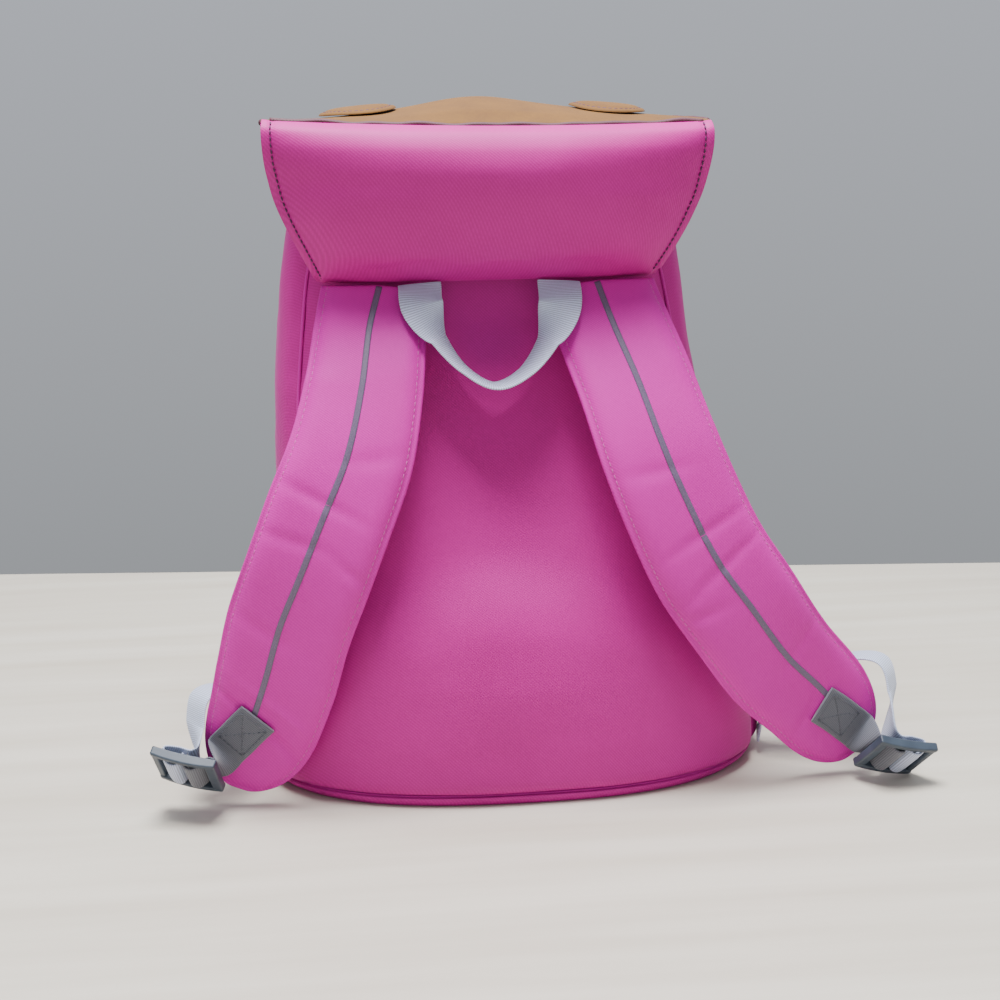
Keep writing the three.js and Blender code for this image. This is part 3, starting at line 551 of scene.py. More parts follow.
def slope_of(surface, u, v, step=0.01):
    """A surface's outward direction, away from the middle of the bag."""
    a = surface(min(u + step, 1), v) - surface(max(u - step, -1), v)
    b = surface(u, min(v + step, 1)) - surface(u, max(v - step, 0))
    normal = a.cross(b).normalized()
    return normal if normal.dot(surface(u, v) - Vector((lid_middle, 0, 0.2))) > 0 else -normal


def lid_back_cloth(u, v, lift=0.0):
    normal = slope_of(lid_back_point, u, v)
    ease = min(1, v / 0.08) * min(1, (1 - v) / 0.06)
    out = sum(depth * mm * bell(u - cu, ru) * bell(v - cv, rv) for cu, cv, ru, rv, depth in lid_creases)
    out = out * ease + 0.35 * mm * noise.noise(Vector((u * 5, v * 4, 3))) * ease
    edge = (1 - abs(u)) * lid_half_width
    stitched = bell(edge - hem_in, 1.1 * mm) * -0.45 * mm + (hem_proud if edge < hem_in else 0)
    return lid_back_point(u, v) + normal * (out + stitched + lift)


def edge_spread(u, power=1.6):
    """Places across a piece, from -1 to 1, closer together towards both edges."""
    s = 2 * u - 1
    return copysign(1 - (1 - abs(s)) ** power, s)


bm = grid_over(lambda u, v: lid_back_cloth(edge_spread(u), v), 72, 44, Vector((lid_middle, 0.02, 0.25)))
lid_back = finished("lid_back", bm, body_cloth, ["lid_back"], lid_wall * 0.72, 1)
for side, name in ((-1, "left"), (1, "right")):
    line = [lid_back_cloth(side * (1 - hem_in / lid_half_width), 0.03 + 0.955 * i / 60, 0.12 * mm)
            for i in range(61)]
    stitch_row(f"lid_stitches_{name}", line, dark_thread, 2.7 * mm, 0.5 * mm, 0.42 * mm)


# The lid's face: an ochre sheet sewn to the lid's back along the top, which lies over the mouth and hangs
# down the front as a rounded flap. It is bound round its free edge.
lid_top = lid_seam_height + lid_rise
flap_bottom = lid_top - flap_drop
ridge = lid_back_point(0, 1).y
flap_front = body_side(lid_middle, flap_bottom, True) + seat_gap + lid_wall
lid_face_rows = [
    (0.0, 0.0, 0.0, 1.0), (0.07, 0.13, -0.018, 1.0), (0.18, 0.33, -0.028, 0.99), (0.3, 0.55, -0.025, 0.98),
    (0.42, 0.76, 0.0, 0.97), (0.51, 0.91, 0.07, 0.95), (0.58, 0.985, 0.19, 0.93), (0.65, 1.01, 0.34, 0.91),
    (0.75, 1.012, 0.53, 0.88), (0.85, 1.01, 0.72, 0.82), (0.93, 1.004, 0.87, 0.68), (1.0, 1.0, 1.0, 0.42),
]


def lid_face_at(x, v):
    depth, down, _ = eased(lid_face_rows, v, 0.4)
    share = (x - lid_middle) / lid_half_width
    hem = lid_back_point(share, 1)
    start = max(0.0, 1 - v / 0.12)
    y = hem.y * start + ridge * (1 - start) + seat_gap + (flap_front - ridge - seat_gap) * depth
    top = hem.z * start + lid_top * (1 - start)
    edge_round = lid_side_roll * share ** 4 * (1 - start)
    swell = crown_swell * bell(share, 0.4) * bell(v - 0.2, 0.2) * min(1, v / 0.04)
    return Vector((x, y - edge_round * min(1, v / 0.5), top - down * flap_drop + swell
                   - edge_round * max(0, 1 - v / 0.5)))


def lid_face_point(u, v):
    return lid_face_at(lid_middle + u * eased(lid_face_rows, v, 0.4)[2] * lid_half_width, v)


def lid_face_cloth(u, v, lift=0.0):
    normal = slope_of(lid_face_point, u, v)
    ease = min(1, v / 0.06)
    out = 0.8 * mm * noise.noise(Vector((u * 3, v * 7, 9))) * ease
    edge = (1 - abs(u)) * lid_half_width
    return lid_face_point(u, v) + normal * (out - 0.5 * mm * bell(edge - 5 * mm, 1.2 * mm) * ease + lift)


def felt(name, colour, deep, nap=520.0):
    """A short-napped cloth: mottled tone, fine fuzz and a soft edge sheen."""
    paint = Paint(name, colour, 0.85)
    mottle = paint.texture("ShaderNodeTexNoise", Scale=60.0, Detail=6.0)
    fuzz = paint.texture("ShaderNodeTexNoise", Scale=nap, Detail=4.0, Roughness=0.7)
    tone = paint.mixed((mottle.outputs["Fac"], 0.6), (fuzz.outputs["Fac"], 0.4))
    paint.colour(paint.ramp(tone, [(0.3, deep), (0.65, colour)]))
    paint.bump(fuzz.outputs["Fac"], 0.5, 0.25 * mm)
    paint.look(Sheen_Weight=0.04, Sheen_Roughness=0.5)
    return paint.material


ochre_cloth = felt("ochre cloth", (0.150, 0.060, 0.0006), (0.100, 0.036, 0.0004))
cream_cloth = felt("cream cloth", (0.80, 0.70, 0.54), (0.66, 0.55, 0.40))
dark_cloth = felt("dark cloth", (0.035, 0.025, 0.03), (0.015, 0.01, 0.013))
# The brown cloth binds the flap's free edge and also paints the shade in the lid's top seam.
binding_and_seam_shade_cloth = twill("brown binding and seam shade", (0.11, 0.035, 0.05), (0.06, 0.018, 0.028), 0.9 * mm)

bm = grid_over(lambda u, v: lid_face_cloth(edge_spread(u), v), 64, 96, Vector((lid_middle, 0, 0.24)))
lid_face = finished("lid_face", bm, ochre_cloth, ["lid_face"], lid_wall * 0.8, 1)
# A dark cord along the lid's top seam: painted shade of the gap between the lid's back and its face.
ridge_line = [lid_back_point(-0.965 + 1.93 * i / 120, 1)
              + Vector((0, 1.2 * mm, -0.5 * mm + 1.3 * mm * noise.noise(Vector((i * 0.11, 2, 0)))))
              for i in range(121)]
tube("lid_ridge_shade_cord", ridge_line, 1.3 * mm, binding_and_seam_shade_cloth)
free_edge = ([lid_face_cloth(-1, v / 100, -1.2 * mm) for v in range(4, 101, 2)]
             + [lid_face_cloth(-1 + 2 * i / 30, 1, -1.2 * mm) for i in range(1, 30)]
             + [lid_face_cloth(1, v / 100, -1.2 * mm) for v in range(100, 3, -2)])
tube("flap_binding", free_edge, 1.7 * mm, binding_and_seam_shade_cloth)


# The animal's face: two round ears on the crown, a cream muzzle, a dark nose and two eyes, each a padded
# patch of felt sewn down round its edge.
pad_seam, pad_corner = 0.86, 2.6


def face_pad(name, middle_x, middle_v, half_wide, half_tall, thickness, lift, material):
    per_share = (lid_face_at(middle_x, middle_v + 0.02) - lid_face_at(middle_x, middle_v - 0.02)).length / 0.04

    def surface(x, y, rise):
        v = middle_v + half_tall * y / per_share
        place = middle_x + half_wide * x
        a = lid_face_at(place + 1 * mm, v) - lid_face_at(place - 1 * mm, v)
        b = lid_face_at(place, v + 0.01) - lid_face_at(place, v - 0.01)
        normal = a.cross(b).normalized()
        if normal.dot(lid_face_at(place, v) - Vector((lid_middle, 0, 0.22))) < 0:
            normal.negate()
        return lid_face_at(place, v) + normal * (lift + rise)

    bm = bmesh.new()
    bmesh.ops.create_uvsphere(bm, u_segments=48, v_segments=28, radius=1)
    for vertex in bm.verts:
        x, y, z = vertex.co
        reach = min(1.0, hypot(x, y))
        body = max(0.0, 1 - reach ** pad_corner) ** 0.5
        seam = -0.14 * bell(reach - pad_seam, 0.04)
        rise = (body + seam + 0.1) * thickness if z >= 0 else 0.1 * thickness * (1 - abs(z))
        vertex.co = surface(x, y, rise)
    piece = finished(name, bm, material, [name], levels=1)
    rise = (max(0.0, 1 - pad_seam ** pad_corner) ** 0.5 - 0.02) * thickness
    return [surface(pad_seam * cos(a), pad_seam * sin(a), rise)
            for a in (2 * pi * i / 90 for i in range(91))]


for name, shift in (("ear_left", -58 * mm), ("ear_right", 58 * mm)):
    ring = face_pad(name, lid_middle + shift, 0.14, 18 * mm, 18 * mm, 3.2 * mm, 0.6 * mm, ochre_cloth)
    stitch_row(f"{name}_stitches", ring, dark_thread, 2.6 * mm, 0.6 * mm, 0.3 * mm)
ring = face_pad("muzzle", lid_middle, 0.76, 37 * mm, 24 * mm, 5 * mm, 0.6 * mm, cream_cloth)
stitch_row("muzzle_stitches", ring, dark_thread, 2.8 * mm, 0.7 * mm, 0.32 * mm)
face_pad("nose", lid_middle, 0.745, 12 * mm, 8 * mm, 4 * mm, 5.9 * mm, dark_cloth)
for name, shift in (("eye_left", -39 * mm), ("eye_right", 39 * mm)):
    face_pad(name, lid_middle + shift, 0.66, 6.5 * mm, 6.5 * mm, 3 * mm, 0.6 * mm, dark_cloth)


# The lid's clasp: one moulded piece on the front panel, just under the tip of the flap.
def moulded(name, colour, worn):
    """A moulded plastic: fine pitted grain with a faint scuffed tone."""
    paint = Paint(name, colour, 0.42)
    scuff = paint.texture("ShaderNodeTexNoise", Scale=120.0, Detail=5.0)
    pits = paint.texture("ShaderNodeTexNoise", Scale=2600.0, Detail=2.0)
    paint.colour(paint.ramp(scuff.outputs["Fac"], [(0.35, colour), (0.75, worn)]))
    paint.bump(pits.outputs["Fac"], 0.2, 0.05 * mm)
    return paint.material


slate_plastic = moulded("slate plastic", (0.028, 0.040, 0.058), (0.045, 0.062, 0.085))
clasp_low, clasp_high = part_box("lid_clasp")
bm = bmesh.new()
bmesh.ops.create_cube(bm, size=1)
bmesh.ops.scale(bm, verts=bm.verts, vec=clasp_high - clasp_low)
bmesh.ops.bevel(bm, geom=bm.edges, offset=2.2 * mm, affect="EDGES", segments=4, profile=0.5, material=-1)
front_face = max(bm.faces, key=lambda face: face.calc_center_median().y)
for depth, inset in ((0.0, 3.2 * mm), (-0.9 * mm, 0.8 * mm)):
    bmesh.ops.inset_region(bm, faces=[front_face], thickness=inset, depth=depth)
bmesh.ops.translate(bm, verts=bm.verts, vec=(clasp_low + clasp_high) / 2)
finished("lid_clasp_moulding", bm, slate_plastic, ["lid_clasp"], levels=0, smooth=False)


# The shoulder straps: foam between two layers of twill, turned and topstitched close to the edge. They are
# sewn in under the lid's seam and hang down and outwards over the back panel to rounded tips.
strap_width, strap_thickness, strap_root_spacing = 59 * mm, 9.5 * mm, 102 * mm
strap_stand_off, strap_swing, strap_round = 1.8 * mm, 37 * mm, 0.12
strap_splay = {"left": 80 * mm, "right": 119 * mm}
sides = ("left", "right")
sign = {"left": -1, "right": 1}

# height, across, swing, width, thickness, turn in degrees
strap_lie = {
    "left": [
        (1.0, 0.0, 0.0, 0.89, 0.5, -7), (0.93, 0.056, 0.22, 0.88, 0.9, -8), (0.82, 0.11, 0.6, 0.93, 1, -8),
        (0.7, 0.2, 0.88, 0.98, 1, -8), (0.59, 0.34, 1.0, 1.0, 1, -8), (0.48, 0.475, 1.0, 1.0, 1, -8),
        (0.38, 0.595, 0.9, 1.0, 1, -8), (0.27, 0.69, 0.8, 0.98, 0.95, -6), (0.17, 0.79, 0.66, 0.92, 0.85, -4),
        (0.036, 0.96, 0.44, 0.78, 0.7, -2),
    ],
    "right": [
        (1.0, 0.0, 0.0, 0.89, 0.5, 7), (0.93, 0.04, 0.22, 0.93, 0.9, 9), (0.82, 0.12, 0.6, 0.95, 1, 10),
        (0.7, 0.2, 0.9, 0.98, 1, 11), (0.59, 0.29, 1.02, 1.0, 1, 12), (0.48, 0.4, 1.05, 1.02, 1, 12),
        (0.38, 0.54, 1.0, 1.02, 1, 11), (0.27, 0.7, 0.82, 1.0, 0.95, 9), (0.165, 0.9, 0.6, 0.93, 0.85, 6),
        (0.04, 1.07, 0.42, 0.8, 0.7, 4),
    ],
}


class Line:
    """A smooth line through points, which bends evenly at each of them."""

    def __init__(self, points):
        self.points = points

    def at(self, share):
        last = len(self.points) - 1
        place = min(max(share, 0.0), 1.0) * last
        i = min(int(place), last - 1)
        t = place - i
        p1, p2 = self.points[i], self.points[i + 1]
        p0 = self.points[i - 1] if i else 2 * p1 - p2
        p3 = self.points[i + 2] if i + 2 <= last else 2 * p2 - p1
        d0, d1, d2 = (max((b - a).length, 1e-6) ** 0.5 for a, b in ((p0, p1), (p1, p2), (p2, p3)))
        first = ((p1 - p0) / d0 - (p2 - p0) / (d0 + d1) + (p2 - p1) / d1) * d1
        second = ((p2 - p1) / d1 - (p3 - p1) / (d1 + d2) + (p3 - p2) / d2) * d1
        return (p1 + first * t + (-3 * p1 + 3 * p2 - 2 * first - second) * t ** 2
                + (2 * p1 - 2 * p2 + first + second) * t ** 3)

    def along(self, share):
        return (self.at(share + 1e-4) - self.at(share - 1e-4)).normalized()

    def length(self):
        places = [self.at(i / 200) for i in range(201)]
        return sum((b - a).length for a, b in zip(places, places[1:]))

    def even(self, count):
        """Shares that lie evenly along the line's length."""
        places = [self.at(i / 400) for i in range(401)]
        run = [0.0]
        for a, b in zip(places, places[1:]):
            run.append(run[-1] + (b - a).length)
        out, i = [], 0
        for k in range(count + 1):
            want = run[-1] * k / count
            while i < 399 and run[i + 1] < want:
                i += 1
            out.append((i + (want - run[i]) / max(run[i + 1] - run[i], 1e-9)) / 400)
        return out


def strap_line(side):
    root_x = lid_middle + sign[side] * strap_root_spacing / 2
    root_y = body_side(root_x, lid_seam_height) - strap_thickness / 4 - strap_stand_off
    return Line([Vector((root_x + sign[side] * strap_splay[side] * across, root_y - strap_swing * swing,
                         lid_seam_height * height)) for height, across, swing, *_ in strap_lie[side]])


def strap_frame(side, line, share):
    """The middle, the directions across and outwards, and the half width and thickness of a strap there."""
    rows = strap_lie[side]
    place = min(max(share, 0), 1) * (len(rows) - 1)
    i = min(int(place), len(rows) - 2)
    wide, thick, turn = (rows[i][k] * (1 - place + i) + rows[i + 1][k] * (place - i) for k in (3, 4, 5))
    along = line.along(share)
    facing = Vector((sin(radians(turn)), -cos(radians(turn)), 0))
    across = facing.cross(along).normalized()
    out = -across.cross(along).normalized()
    return line.at(share), across, out, wide * strap_width / 2, thick * strap_thickness / 2


# Creases where each strap bends: share along, place across in millimetres, slant, length, width and depth.
strap_creases = {
    "left": [
        (0.42, -8, 0.1, 22, 2.2, 0.9), (0.5, -12, -0.05, 16, 2.4, 0.8), (0.52, 20, 0.35, 10, 2.0, 0.9),
        (0.87, -2, 0.55, 26, 2.0, 1.5), (0.835, 6, 0.5, 20, 2.6, -0.9), (0.9, 14, 0.5, 12, 2.2, 0.9),
        (0.33, 12, -0.3, 14, 3.0, 0.6), (0.68, -10, 0.3, 16, 3.2, 0.6),
    ],
    "right": [
        (0.5, 6, -0.1, 22, 2.2, 0.9), (0.57, 4, -0.18, 24, 2.4, 0.9), (0.62, -18, 0.3, 12, 2.2, 0.7),
        (0.37, -8, 0.2, 16, 3.0, 0.6), (0.78, 8, -0.3, 18, 3.0, 0.7), (0.88, -8, -0.4, 16, 2.2, 0.8),
    ],
}
rim_wide, rim_half, groove_in = 2.6 * mm, 1.25 * mm, 3.3 * mm
# The straps' twill is the body's pink cloth painted lighter: painted light for the brighter light that falls on
# the straps.
strap_twill_painted_lighter = twill("pink strap twill painted lighter", (0.60, 0.004, 0.36), (0.47, 0.002, 0.265), 1.05 * mm)


def tip_share(share):
    """How much of a strap's width is left near its rounded tip."""
    reach = max(0.0, share - 1 + strap_round) / strap_round
    return max(0.02, (1 - reach ** 3) ** 0.5)


def strap_height(edge, half_thick):
    """How high the pad's surface stands at a distance in from its edge."""
    swell = max(0.0, edge - rim_wide * 0.8) / (10 * mm)
    pad = half_thick * sqrt(max(0.0, 1 - max(0.0, 1 - swell) ** 2.2))
    rim = rim_half * sqrt(max(0.0, 1 - ((edge - rim_wide / 2) / (rim_wide / 2)) ** 2))
    floor = rim_half * 0.62 * min(1.0, edge / (0.6 * mm))
    return max(pad, rim, floor) - 0.25 * mm * bell(edge - groove_in, 0.5 * mm)


def strap_point(side, line, length, share, across, face, lift=0.0):
    """A point on a strap's front (face 1) or back (face -1) at a place across it from -1 to 1."""
    middle, wide, out, half_wide, half_thick = strap_frame(side, line, share)
    half = half_wide * tip_share(share)
    edge = min(half * (1 - abs(across)), (1 - share) * length * 0.98)
    height = strap_height(edge, half_thick)
    x = across * half
    if face > 0:
        for at, place, slant, long, wide_at, depth in strap_creases[side]:
            dx = x / mm - place
            dl = (share - at) * length / mm - slant * dx
            height -= depth * mm * bell(dl, wide_at) * bell(dx, long) * min(1, height / (3 * mm))
    uneven = noise.noise(Vector((x * 40, share * 9, sign[side] * 4 + face)))
    height += 0.3 * mm * uneven * min(1, edge / (6 * mm))
    point = middle + wide * x + out * face * height + out * lift
    point.z = min(point.z, lid_seam_height - seat_gap)
    return point


def close_up(bm, near):
    """Joins a rolled-up grid along its seam, fills its ends and turns its faces outwards."""
    bmesh.ops.remove_doubles(bm, verts=bm.verts, dist=near)
    bmesh.ops.holes_fill(bm, edges=[e for e in bm.edges if e.is_boundary], sides=0)
    bmesh.ops.recalc_face_normals(bm, faces=bm.faces)


strap_columns, strap_rows, tip_crowding = 68, 130, 1.25


def strap_piece(side):
    line = strap_line(side)
    length = line.length()

    def surface(u, v):
        turn = 2 * pi * u
        share = 1 - (1 - v) ** tip_crowding if v > 0.5 else v * (1 - 0.5 ** tip_crowding) / 0.5
        return strap_point(side, line, length, share, cos(turn), 1 if sin(turn) >= 0 else -1)

    bm = grid_on(surface, strap_columns, strap_rows)
    close_up(bm, 0.02 * mm)
    name = f"shoulder_strap_{side}"
    piece = finished(name, bm, strap_twill_painted_lighter, [name])
    for edge_side, word in ((-1, "outer"), (1, "inner")):
        points = []
        for i in range(121):
            share = 0.03 + 0.93 * i / 120
            half = strap_frame(side, line, share)[3] * tip_share(share)
            across = -sign[side] * edge_side * max(0.0, 1 - groove_in / half)
            points.append(strap_point(side, line, length, share, across, 1, 0.05 * mm))
        stitch_row(f"strap_stitches_{word}_{side}", points, pink_thread, thick=0.28 * mm)
    return line, length


strap_lines = {side: strap_piece(side) for side in sides}


# The reflective line: a narrow grey tape sewn down the middle of each strap, from the lid's seam to the
# webbing patch.
tape_paint = Paint("grey tape", (0.13, 0.09, 0.16), 0.5)
beads = tape_paint.texture("ShaderNodeTexVoronoi", Scale=2400.0)
tape_paint.colour(tape_paint.ramp(beads.outputs["Distance"],
                                  [(0.1, (0.16, 0.11, 0.19)), (0.6, (0.10, 0.065, 0.125))]))
tape_paint.bump(beads.outputs["Distance"], 0.15, 0.05 * mm)
tape_half, tape_lift, tape_wall, tape_start = 1.45 * mm, 0.22 * mm, 0.3 * mm, 0.012
tape_end = {"left": 0.875, "right": 0.885}
tape_drift = {"left": (0.5, -5.5), "right": (-1.0, 4.5)}

for side in sides:
    line, length = strap_lines[side]

    def tape(u, v):
        share = tape_start + (tape_end[side] - tape_start) * v
        half = strap_frame(side, line, share)[3]
        start, end = tape_drift[side]
        drift = (start + (end - start) * v ** 1.4) * mm
        across = (drift + (2 * u - 1) * tape_half) / half
        return strap_point(side, line, length, share, across, 1, tape_lift)

    name = f"reflective_line_{side}"
    finished(name, grid_over(tape, 4, 160, Vector((0, 0.1, 0.12))), tape_paint.material, [name],
             tape_wall, 0)


# The webbing: flat woven grey tape, 20 mm wide, with fine ribs across it and a firm selvedge on each side.
webbing_width, webbing_thickness, rib_pitch, rib_depth = 20 * mm, 1.6 * mm, 0.9 * mm, 0.13 * mm
webbing_columns, webbing_corner = 24, 0.55


def webbing_paint(name, colour, deep):
    paint = Paint(name, colour, 0.7)
    speck = paint.texture("ShaderNodeTexNoise", Scale=1500.0, Detail=3.0)
    # The tone follows each rib's height: the grooves painted darker as painted shade and the crests lighter as
    # painted highlights, with a fine random speck.
    depth = paint.add("ShaderNodeAttribute", attribute_name="rib")
    tone = paint.mixed((depth.outputs["Fac"], 0.75), (speck.outputs["Fac"], 0.3))
    paint.colour(paint.ramp(tone, [(0.15, deep), (0.85, colour)]))
    paint.bump(speck.outputs["Fac"], 0.35, 0.08 * mm)
    paint.look(Sheen_Weight=0.3)
    return paint.material


light_webbing = webbing_paint("grey webbing", (0.54, 0.60, 0.78), (0.24, 0.265, 0.35))
# The straps' webbing is the same grey tape painted much darker: painted shade on the strap tips, which face down
# and away.
patch_webbing_painted_shade = webbing_paint("grey webbing painted dark as shade", (0.12, 0.125, 0.155), (0.045, 0.048, 0.062))


def webbing_piece(name, station, length, material):
    """A band with ribs across it. station gives its middle, its width direction and its outward direction."""
    rows = max(12, int(length / rib_pitch) * 4)
    bm = bmesh.new()
    bmesh.ops.create_grid(bm, x_segments=webbing_columns, y_segments=rows, size=0.5)
    rib = bm.verts.layers.float.new("rib")
    for vertex in bm.verts:
        u, v = vertex.co.x + 0.5, vertex.co.y + 0.5
        middle, across, out = station(v)
        turn = 2 * pi * u
        c, s = cos(turn), sin(turn)
        x = copysign(abs(c) ** webbing_corner, c)
        n = copysign(abs(s) ** webbing_corner, s)
        wave = 0.5 + 0.5 * cos(2 * pi * v * length / rib_pitch)
        # The rib's height is kept for the paint, which shades its grooves and lights its crests.
        vertex[rib] = wave
        selvedge = 0.12 * mm * bell(abs(x) - 0.9, 0.05)
        vertex.co = (middle + across * x * (webbing_width / 2 + rib_depth * (wave - 0.5))
                     + out * n * (webbing_thickness / 2 - rib_depth * (1 - wave) + selvedge))
    close_up(bm, 0.002 * mm)
    finished(name, bm, material, [name], levels=0)


# The ladder buckles: a moulded frame with a broad end towards the strap and three slots with a bar after
# each. Its side rails are bowed, and it hangs at the strap's edge with its face turned down and outwards.
buckle_width, buckle_block, buckle_slot, buckle_bar = 27 * mm, 5 * mm, 5.6 * mm, 3.4 * mm
buckle_length, buckle_thickness = buckle_block + 3 * (buckle_slot + buckle_bar), 4.5 * mm
buckle_play = 0.5 * mm
buckle_lie = {"left": (21.5, -13.5, 17), "right": (16, -15.5, 5)}
buckle_away = {"left": Vector((-0.94, 0.28, 0.16)), "right": Vector((0.94, 0.16, -0.25))}
buckle_out = Vector((0, -0.75, -0.66))
slot_step = buckle_slot + buckle_bar
first_slot = buckle_block - buckle_length / 2
strap_bar = first_slot + buckle_slot + buckle_bar / 2
loop_bar = strap_bar + slot_step
rail_width = (buckle_width - webbing_width) / 2 - buckle_play
rail_bow, bar_round = 1.3 * mm, 0.85 * mm


def buckle_matrix(side):
    """Turns a buckle's own axes to where it lies: across its webbing, along it, and outwards."""
    tip = strap_lines[side][0].at(1)
    beside, behind, above = (value * mm for value in buckle_lie[side])
    away = buckle_away[side].normalized()
    wide = away.cross(buckle_out).normalized()
    out = wide.cross(away).normalized()
    place = tip + Vector((sign[side] * beside, behind, above))
    return Matrix.Translation(place) @ Matrix((wide, away, out)).transposed().to_4x4()


def moulded_bar(low, high, bow_axis=0, bow=0.0, cuts=10):
    """A rounded bar between two corners of the buckle's plane, bowed outwards along one axis."""
    low, high = Vector(low), Vector(high)
    bm = bmesh.new()
    bmesh.ops.create_cube(bm, size=1)
    normal = Vector((bow_axis == 0, bow_axis == 1, 0))
    for k in range(1, cuts):
        bmesh.ops.bisect_plane(bm, geom=bm.verts[:] + bm.edges[:] + bm.faces[:],
                               plane_co=normal * (k / cuts - 0.5), plane_no=normal)
    bmesh.ops.scale(bm, verts=bm.verts, vec=high - low)
    middle = (low + high) / 2
    bmesh.ops.translate(bm, verts=bm.verts, vec=middle)
    for vertex in bm.verts:
        share = (vertex.co[bow_axis] - middle[bow_axis]) * 2 / (high - low)[bow_axis]
        vertex.co.z += bow * (1 - share * share) * (1 if vertex.co.z > 0 else 0.6)
    sharp = [e for e in bm.edges if len(e.link_faces) == 2 and e.calc_face_angle(0) > 0.9]
    bmesh.ops.bevel(bm, geom=sharp, offset=bar_round, affect="EDGES", segments=3, profile=0.5, material=-1)
    bmesh.ops.recalc_face_normals(bm, faces=bm.faces)
    return bm


half_w, half_l, half_t = buckle_width / 2, buckle_length / 2, buckle_thickness / 2
for side in sides:
    frame_parts = [moulded_bar((x, -half_l, -half_t), (x + rail_width, half_l, half_t), 1, rail_bow)
                   for x in (-half_w, half_w - rail_width)]
    frame_parts.append(moulded_bar((-half_w + 0.5 * mm, -half_l, -half_t * 0.9),
                                   (half_w - 0.5 * mm, -half_l + buckle_block, half_t * 0.95), 0, 0.4 * mm))
    for near in (strap_bar, loop_bar, half_l - buckle_bar / 2):
        frame_parts.append(moulded_bar((-half_w + 1 * mm, near - buckle_bar / 2, -half_t * 0.85),
                                       (half_w - 1 * mm, near + buckle_bar / 2, half_t * 0.85)))
    made = [placed(f"buckle_bar_{k}", mesh_of(f"buckle_bar_{k}", bm)) for k, bm in enumerate(frame_parts)]
    for other in made[1:]:
        union = made[0].modifiers.new("join", "BOOLEAN")
        union.operation = "UNION"
        union.solver = "EXACT"
        union.object = other
    bpy.context.view_layer.update()
    joined = bpy.data.meshes.new_from_object(made[0].evaluated_get(bpy.context.evaluated_depsgraph_get()))
    for other in made:
        bpy.data.objects.remove(other)
    bm = bmesh.new()
    bm.from_mesh(joined)
    bmesh.ops.transform(bm, matrix=buckle_matrix(side), verts=bm.verts)
    finished(f"buckle_{side}_moulding", bm, slate_plastic, [f"buckle_{side}"], levels=0,
             smooth=False)


over_bar = (buckle_thickness + webbing_thickness) / 2 + buckle_play


def over(bar, way):
    """Webbing's way over one of a buckle's bars and down the next slot, as places along and outwards."""
    shoulder = buckle_bar / 2 + 0.7 * webbing_thickness / 2
    dive = buckle_bar / 2 + webbing_thickness
    return [(bar - way * shoulder, 0.9 * over_bar), (bar, 1.1 * over_bar), (bar + way * shoulder, 0.9 * over_bar),
            (bar + way * dive, 0), (bar + way * dive, -0.9 * over_bar)]


def between(values, share):
    """A value at a share of the way along a list of values."""
    place = share * (len(values) - 1)
    i = min(int(place), len(values) - 2)
    return values[i] * (1 - place + i) + values[i + 1] * (place - i)


def band_station(points, directions):
    """The stations of a band through points, each with its own direction across."""
    line = Line(points)
    shares = line.even(300)

    def station(v):
        share = between(shares, v)
        wide = between(directions, share).normalized()
        out = line.along(share).cross(wide).normalized()
        return line.at(share), wide, out

    return station, line.length()


# The straps' own webbing: sewn on each strap near its tip with a box and a cross. It runs off the strap's
# edge, behind the buckle's broad end, and over the buckle's first bar.
patch_length, patch_lift = 24 * mm, 0.35 * mm
patch_lie = {"left": (26.5, 8, 24), "right": (22, 3.5, 20)}
sewn_in = 2.4 * mm

for side in sides:
    line, length = strap_lines[side]
    back_from_tip, beside, turn = patch_lie[side]
    turn = radians(turn)
    matrix = buckle_matrix(side)
    points, directions = [], []
    for i in range(4):
        ahead = (i / 3 - 0.5) * patch_length
        share = 1 - (back_from_tip * mm - ahead * cos(turn)) / length
        middle, wide, out, _, half_thick = strap_frame(side, line, share)
        out_by = sign[side] * (beside * mm + ahead * sin(turn))
        points.append(middle + wide * out_by + out * (half_thick + patch_lift + webbing_thickness / 2))
        wide = wide.copy()
        wide.rotate(Matrix.Rotation(sign[side] * turn, 3, out))
        directions.append(wide)
    for along, outwards in ([(first_slot - buckle_block / 2, -1.15 * over_bar),
                             (first_slot + webbing_thickness / 2, -over_bar),
                             (first_slot + buckle_slot / 2, 0)] + over(strap_bar, 1)):
        points.append(matrix @ Vector((0, along, outwards)))
        directions.append(matrix.to_3x3() @ Vector((-1, 0, 0)))
    station, run = band_station(points, directions)
    webbing_piece(f"strap_webbing_{side}", station, run, patch_webbing_painted_shade)
    half_wide = webbing_width / 2 - sewn_in
    near, far = sewn_in / run, (patch_length - 3.4 * mm) / run
    corners = [(near, -half_wide), (far, -half_wide), (far, half_wide), (near, half_wide)]
    loop = corners + [corners[0]]
    for k, (start, end) in enumerate(list(zip(loop, loop[1:])) + [(corners[0], corners[2]),
                                                                  (corners[1], corners[3])]):
        row = []
        for i in range(21):
            at = start[0] + (end[0] - start[0]) * i / 20
            middle, across, out = station(at)
            if out.y > 0:
                out = -out
            row.append(middle + across * (start[1] + (end[1] - start[1]) * i / 20)
                       + out * (webbing_thickness / 2 + 0.08 * mm))
        stitch_row(f"patch_stitches_{k}_{side}", row, grey_thread, 2.2 * mm, 0.5 * mm, 0.3 * mm)


# The lower webbing: sewn in at the body's lower corner, up behind the strap and over in a loose loop, then
# down behind the buckle, round through its last slot and over its second bar.
anchor_past_seam, anchor_lift = 0.12, 1.2 * mm
anchor_heights = (7 * mm, 20 * mm, 32 * mm)
loop_beside, loop_behind, loop_above = 20 * mm, 14 * mm, 46 * mm
loop_rows = [(0.3, 1.0, 1.02), (0.8, 0.43, 1.0), (0.93, 0.0, 0.74)]
loop_wide = {"left": Vector((0.5, -0.85, 0.1)), "right": Vector((0.5, 0.85, -0.1))}

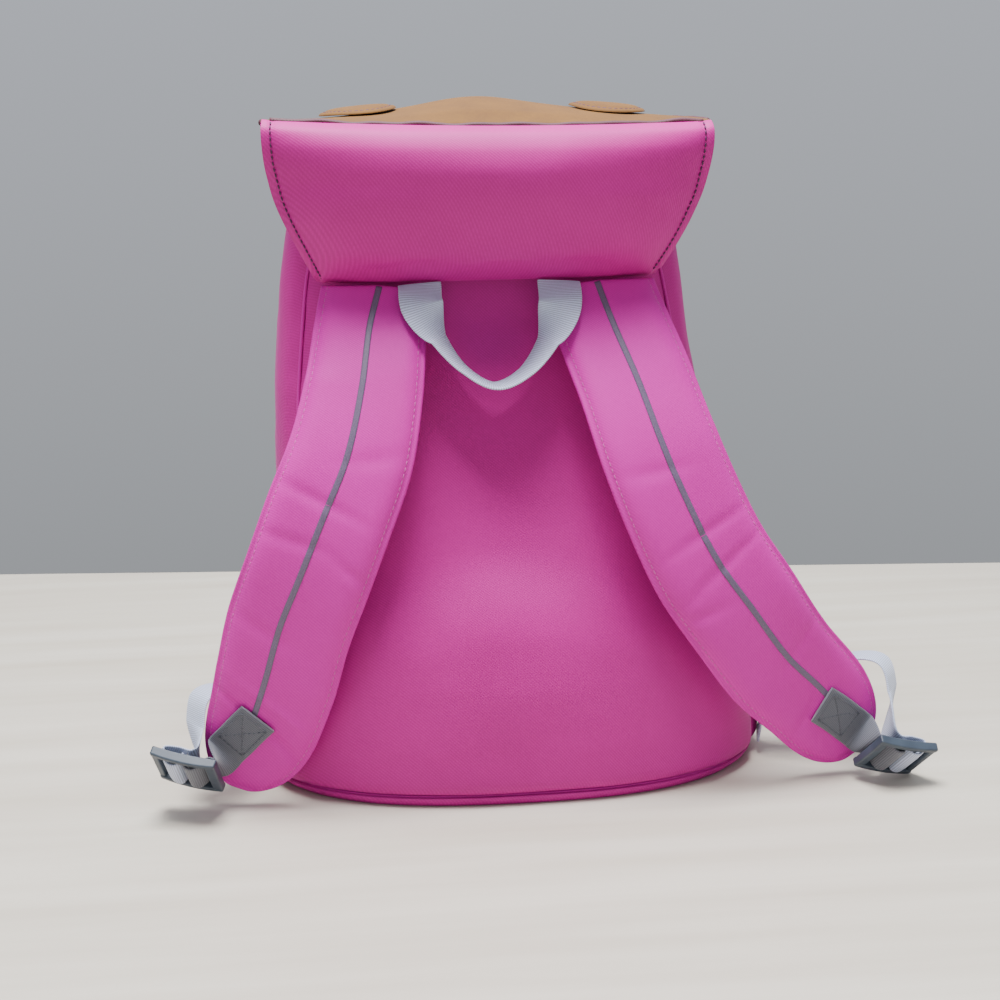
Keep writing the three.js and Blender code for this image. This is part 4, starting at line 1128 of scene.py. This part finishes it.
for side in sides:
    tip = strap_lines[side][0].at(1)
    matrix = buckle_matrix(side)
    points, directions = [], []
    for z in anchor_heights:
        angle = seam_angle(z) + anchor_past_seam
        lift = anchor_lift + webbing_thickness / 2
        point = ring_point(angle, z, -lift)
        tangent = (ring_point(angle + 0.01, z, -lift) - point).normalized()
        if side == "left":
            middle_x = -eased(body_rings, z / body_height, 0.5)[4] * top_lean
            point.x = 2 * middle_x - point.x
        points.append(point)
        directions.append(Vector((tangent.x, sign[side] * tangent.y, 0)))
    for beside, behind, above in loop_rows:
        points.append(tip + Vector((sign[side] * beside * loop_beside, behind * loop_behind, above * loop_above)))
        directions.append(loop_wide[side])
    last_slot = loop_bar + buckle_bar / 2 + buckle_slot
    for along, outwards in ([(strap_bar + buckle_bar / 2, -1.7 * over_bar), (loop_bar, -1.6 * over_bar),
                             (last_slot - webbing_thickness / 2, -1.2 * over_bar),
                             (last_slot - webbing_thickness, -0.4 * over_bar),
                             (last_slot - buckle_slot / 2, 0.4 * over_bar)] + over(loop_bar, -1)):
        points.append(matrix @ Vector((0, along, outwards)))
        directions.append(matrix.to_3x3() @ Vector((1, 0, 0)))
    station, run = band_station(points, directions)
    webbing_piece(f"lower_webbing_{side}", station, run, light_webbing)


# The carrying handle: a loop of the same webbing, sewn in under the lid's seam in front of the straps. It
# hangs down and twists until it is nearly edge-on at its lowest point.
handle_spacing, handle_drop, handle_stand_off = 65 * mm, 46 * mm, 16.5 * mm

# across, drop, off, turn in degrees
handle_rows = [
    (-1.0, 0.0, 0.04, 0), (-0.98, 0.2, 0.58, 8), (-0.76, 0.53, 0.66, 70), (-0.42, 0.83, 0.86, 84),
    (0.02, 1.0, 1.0, 90), (0.45, 0.88, 0.88, 84), (0.8, 0.58, 0.66, 70), (0.98, 0.22, 0.58, 8),
    (1.0, 0.0, 0.03, 0),
]
handle_top = lid_seam_height - seat_gap
strap_front = strap_lines["left"][0].at(0).y - strap_thickness / 4
handle_seat = strap_front - seat_gap - webbing_thickness / 2
handle_line = Line([Vector((lid_middle + across * handle_spacing / 2, handle_seat - off * handle_stand_off,
                            handle_top - drop * handle_drop)) for across, drop, off, _ in handle_rows])
handle_shares = handle_line.even(240)
handle_turns = [row[3] for row in handle_rows]


def handle_station(v):
    share = between(handle_shares, v)
    turn = between(handle_turns, share)
    along = handle_line.along(share)
    wide = Vector((0, -1, 0)).cross(along).normalized()
    wide.rotate(Matrix.Rotation(-radians(turn), 3, along))
    return handle_line.at(share), wide, along.cross(wide).normalized()


webbing_piece("carry_handle", handle_station, handle_line.length(), light_webbing)
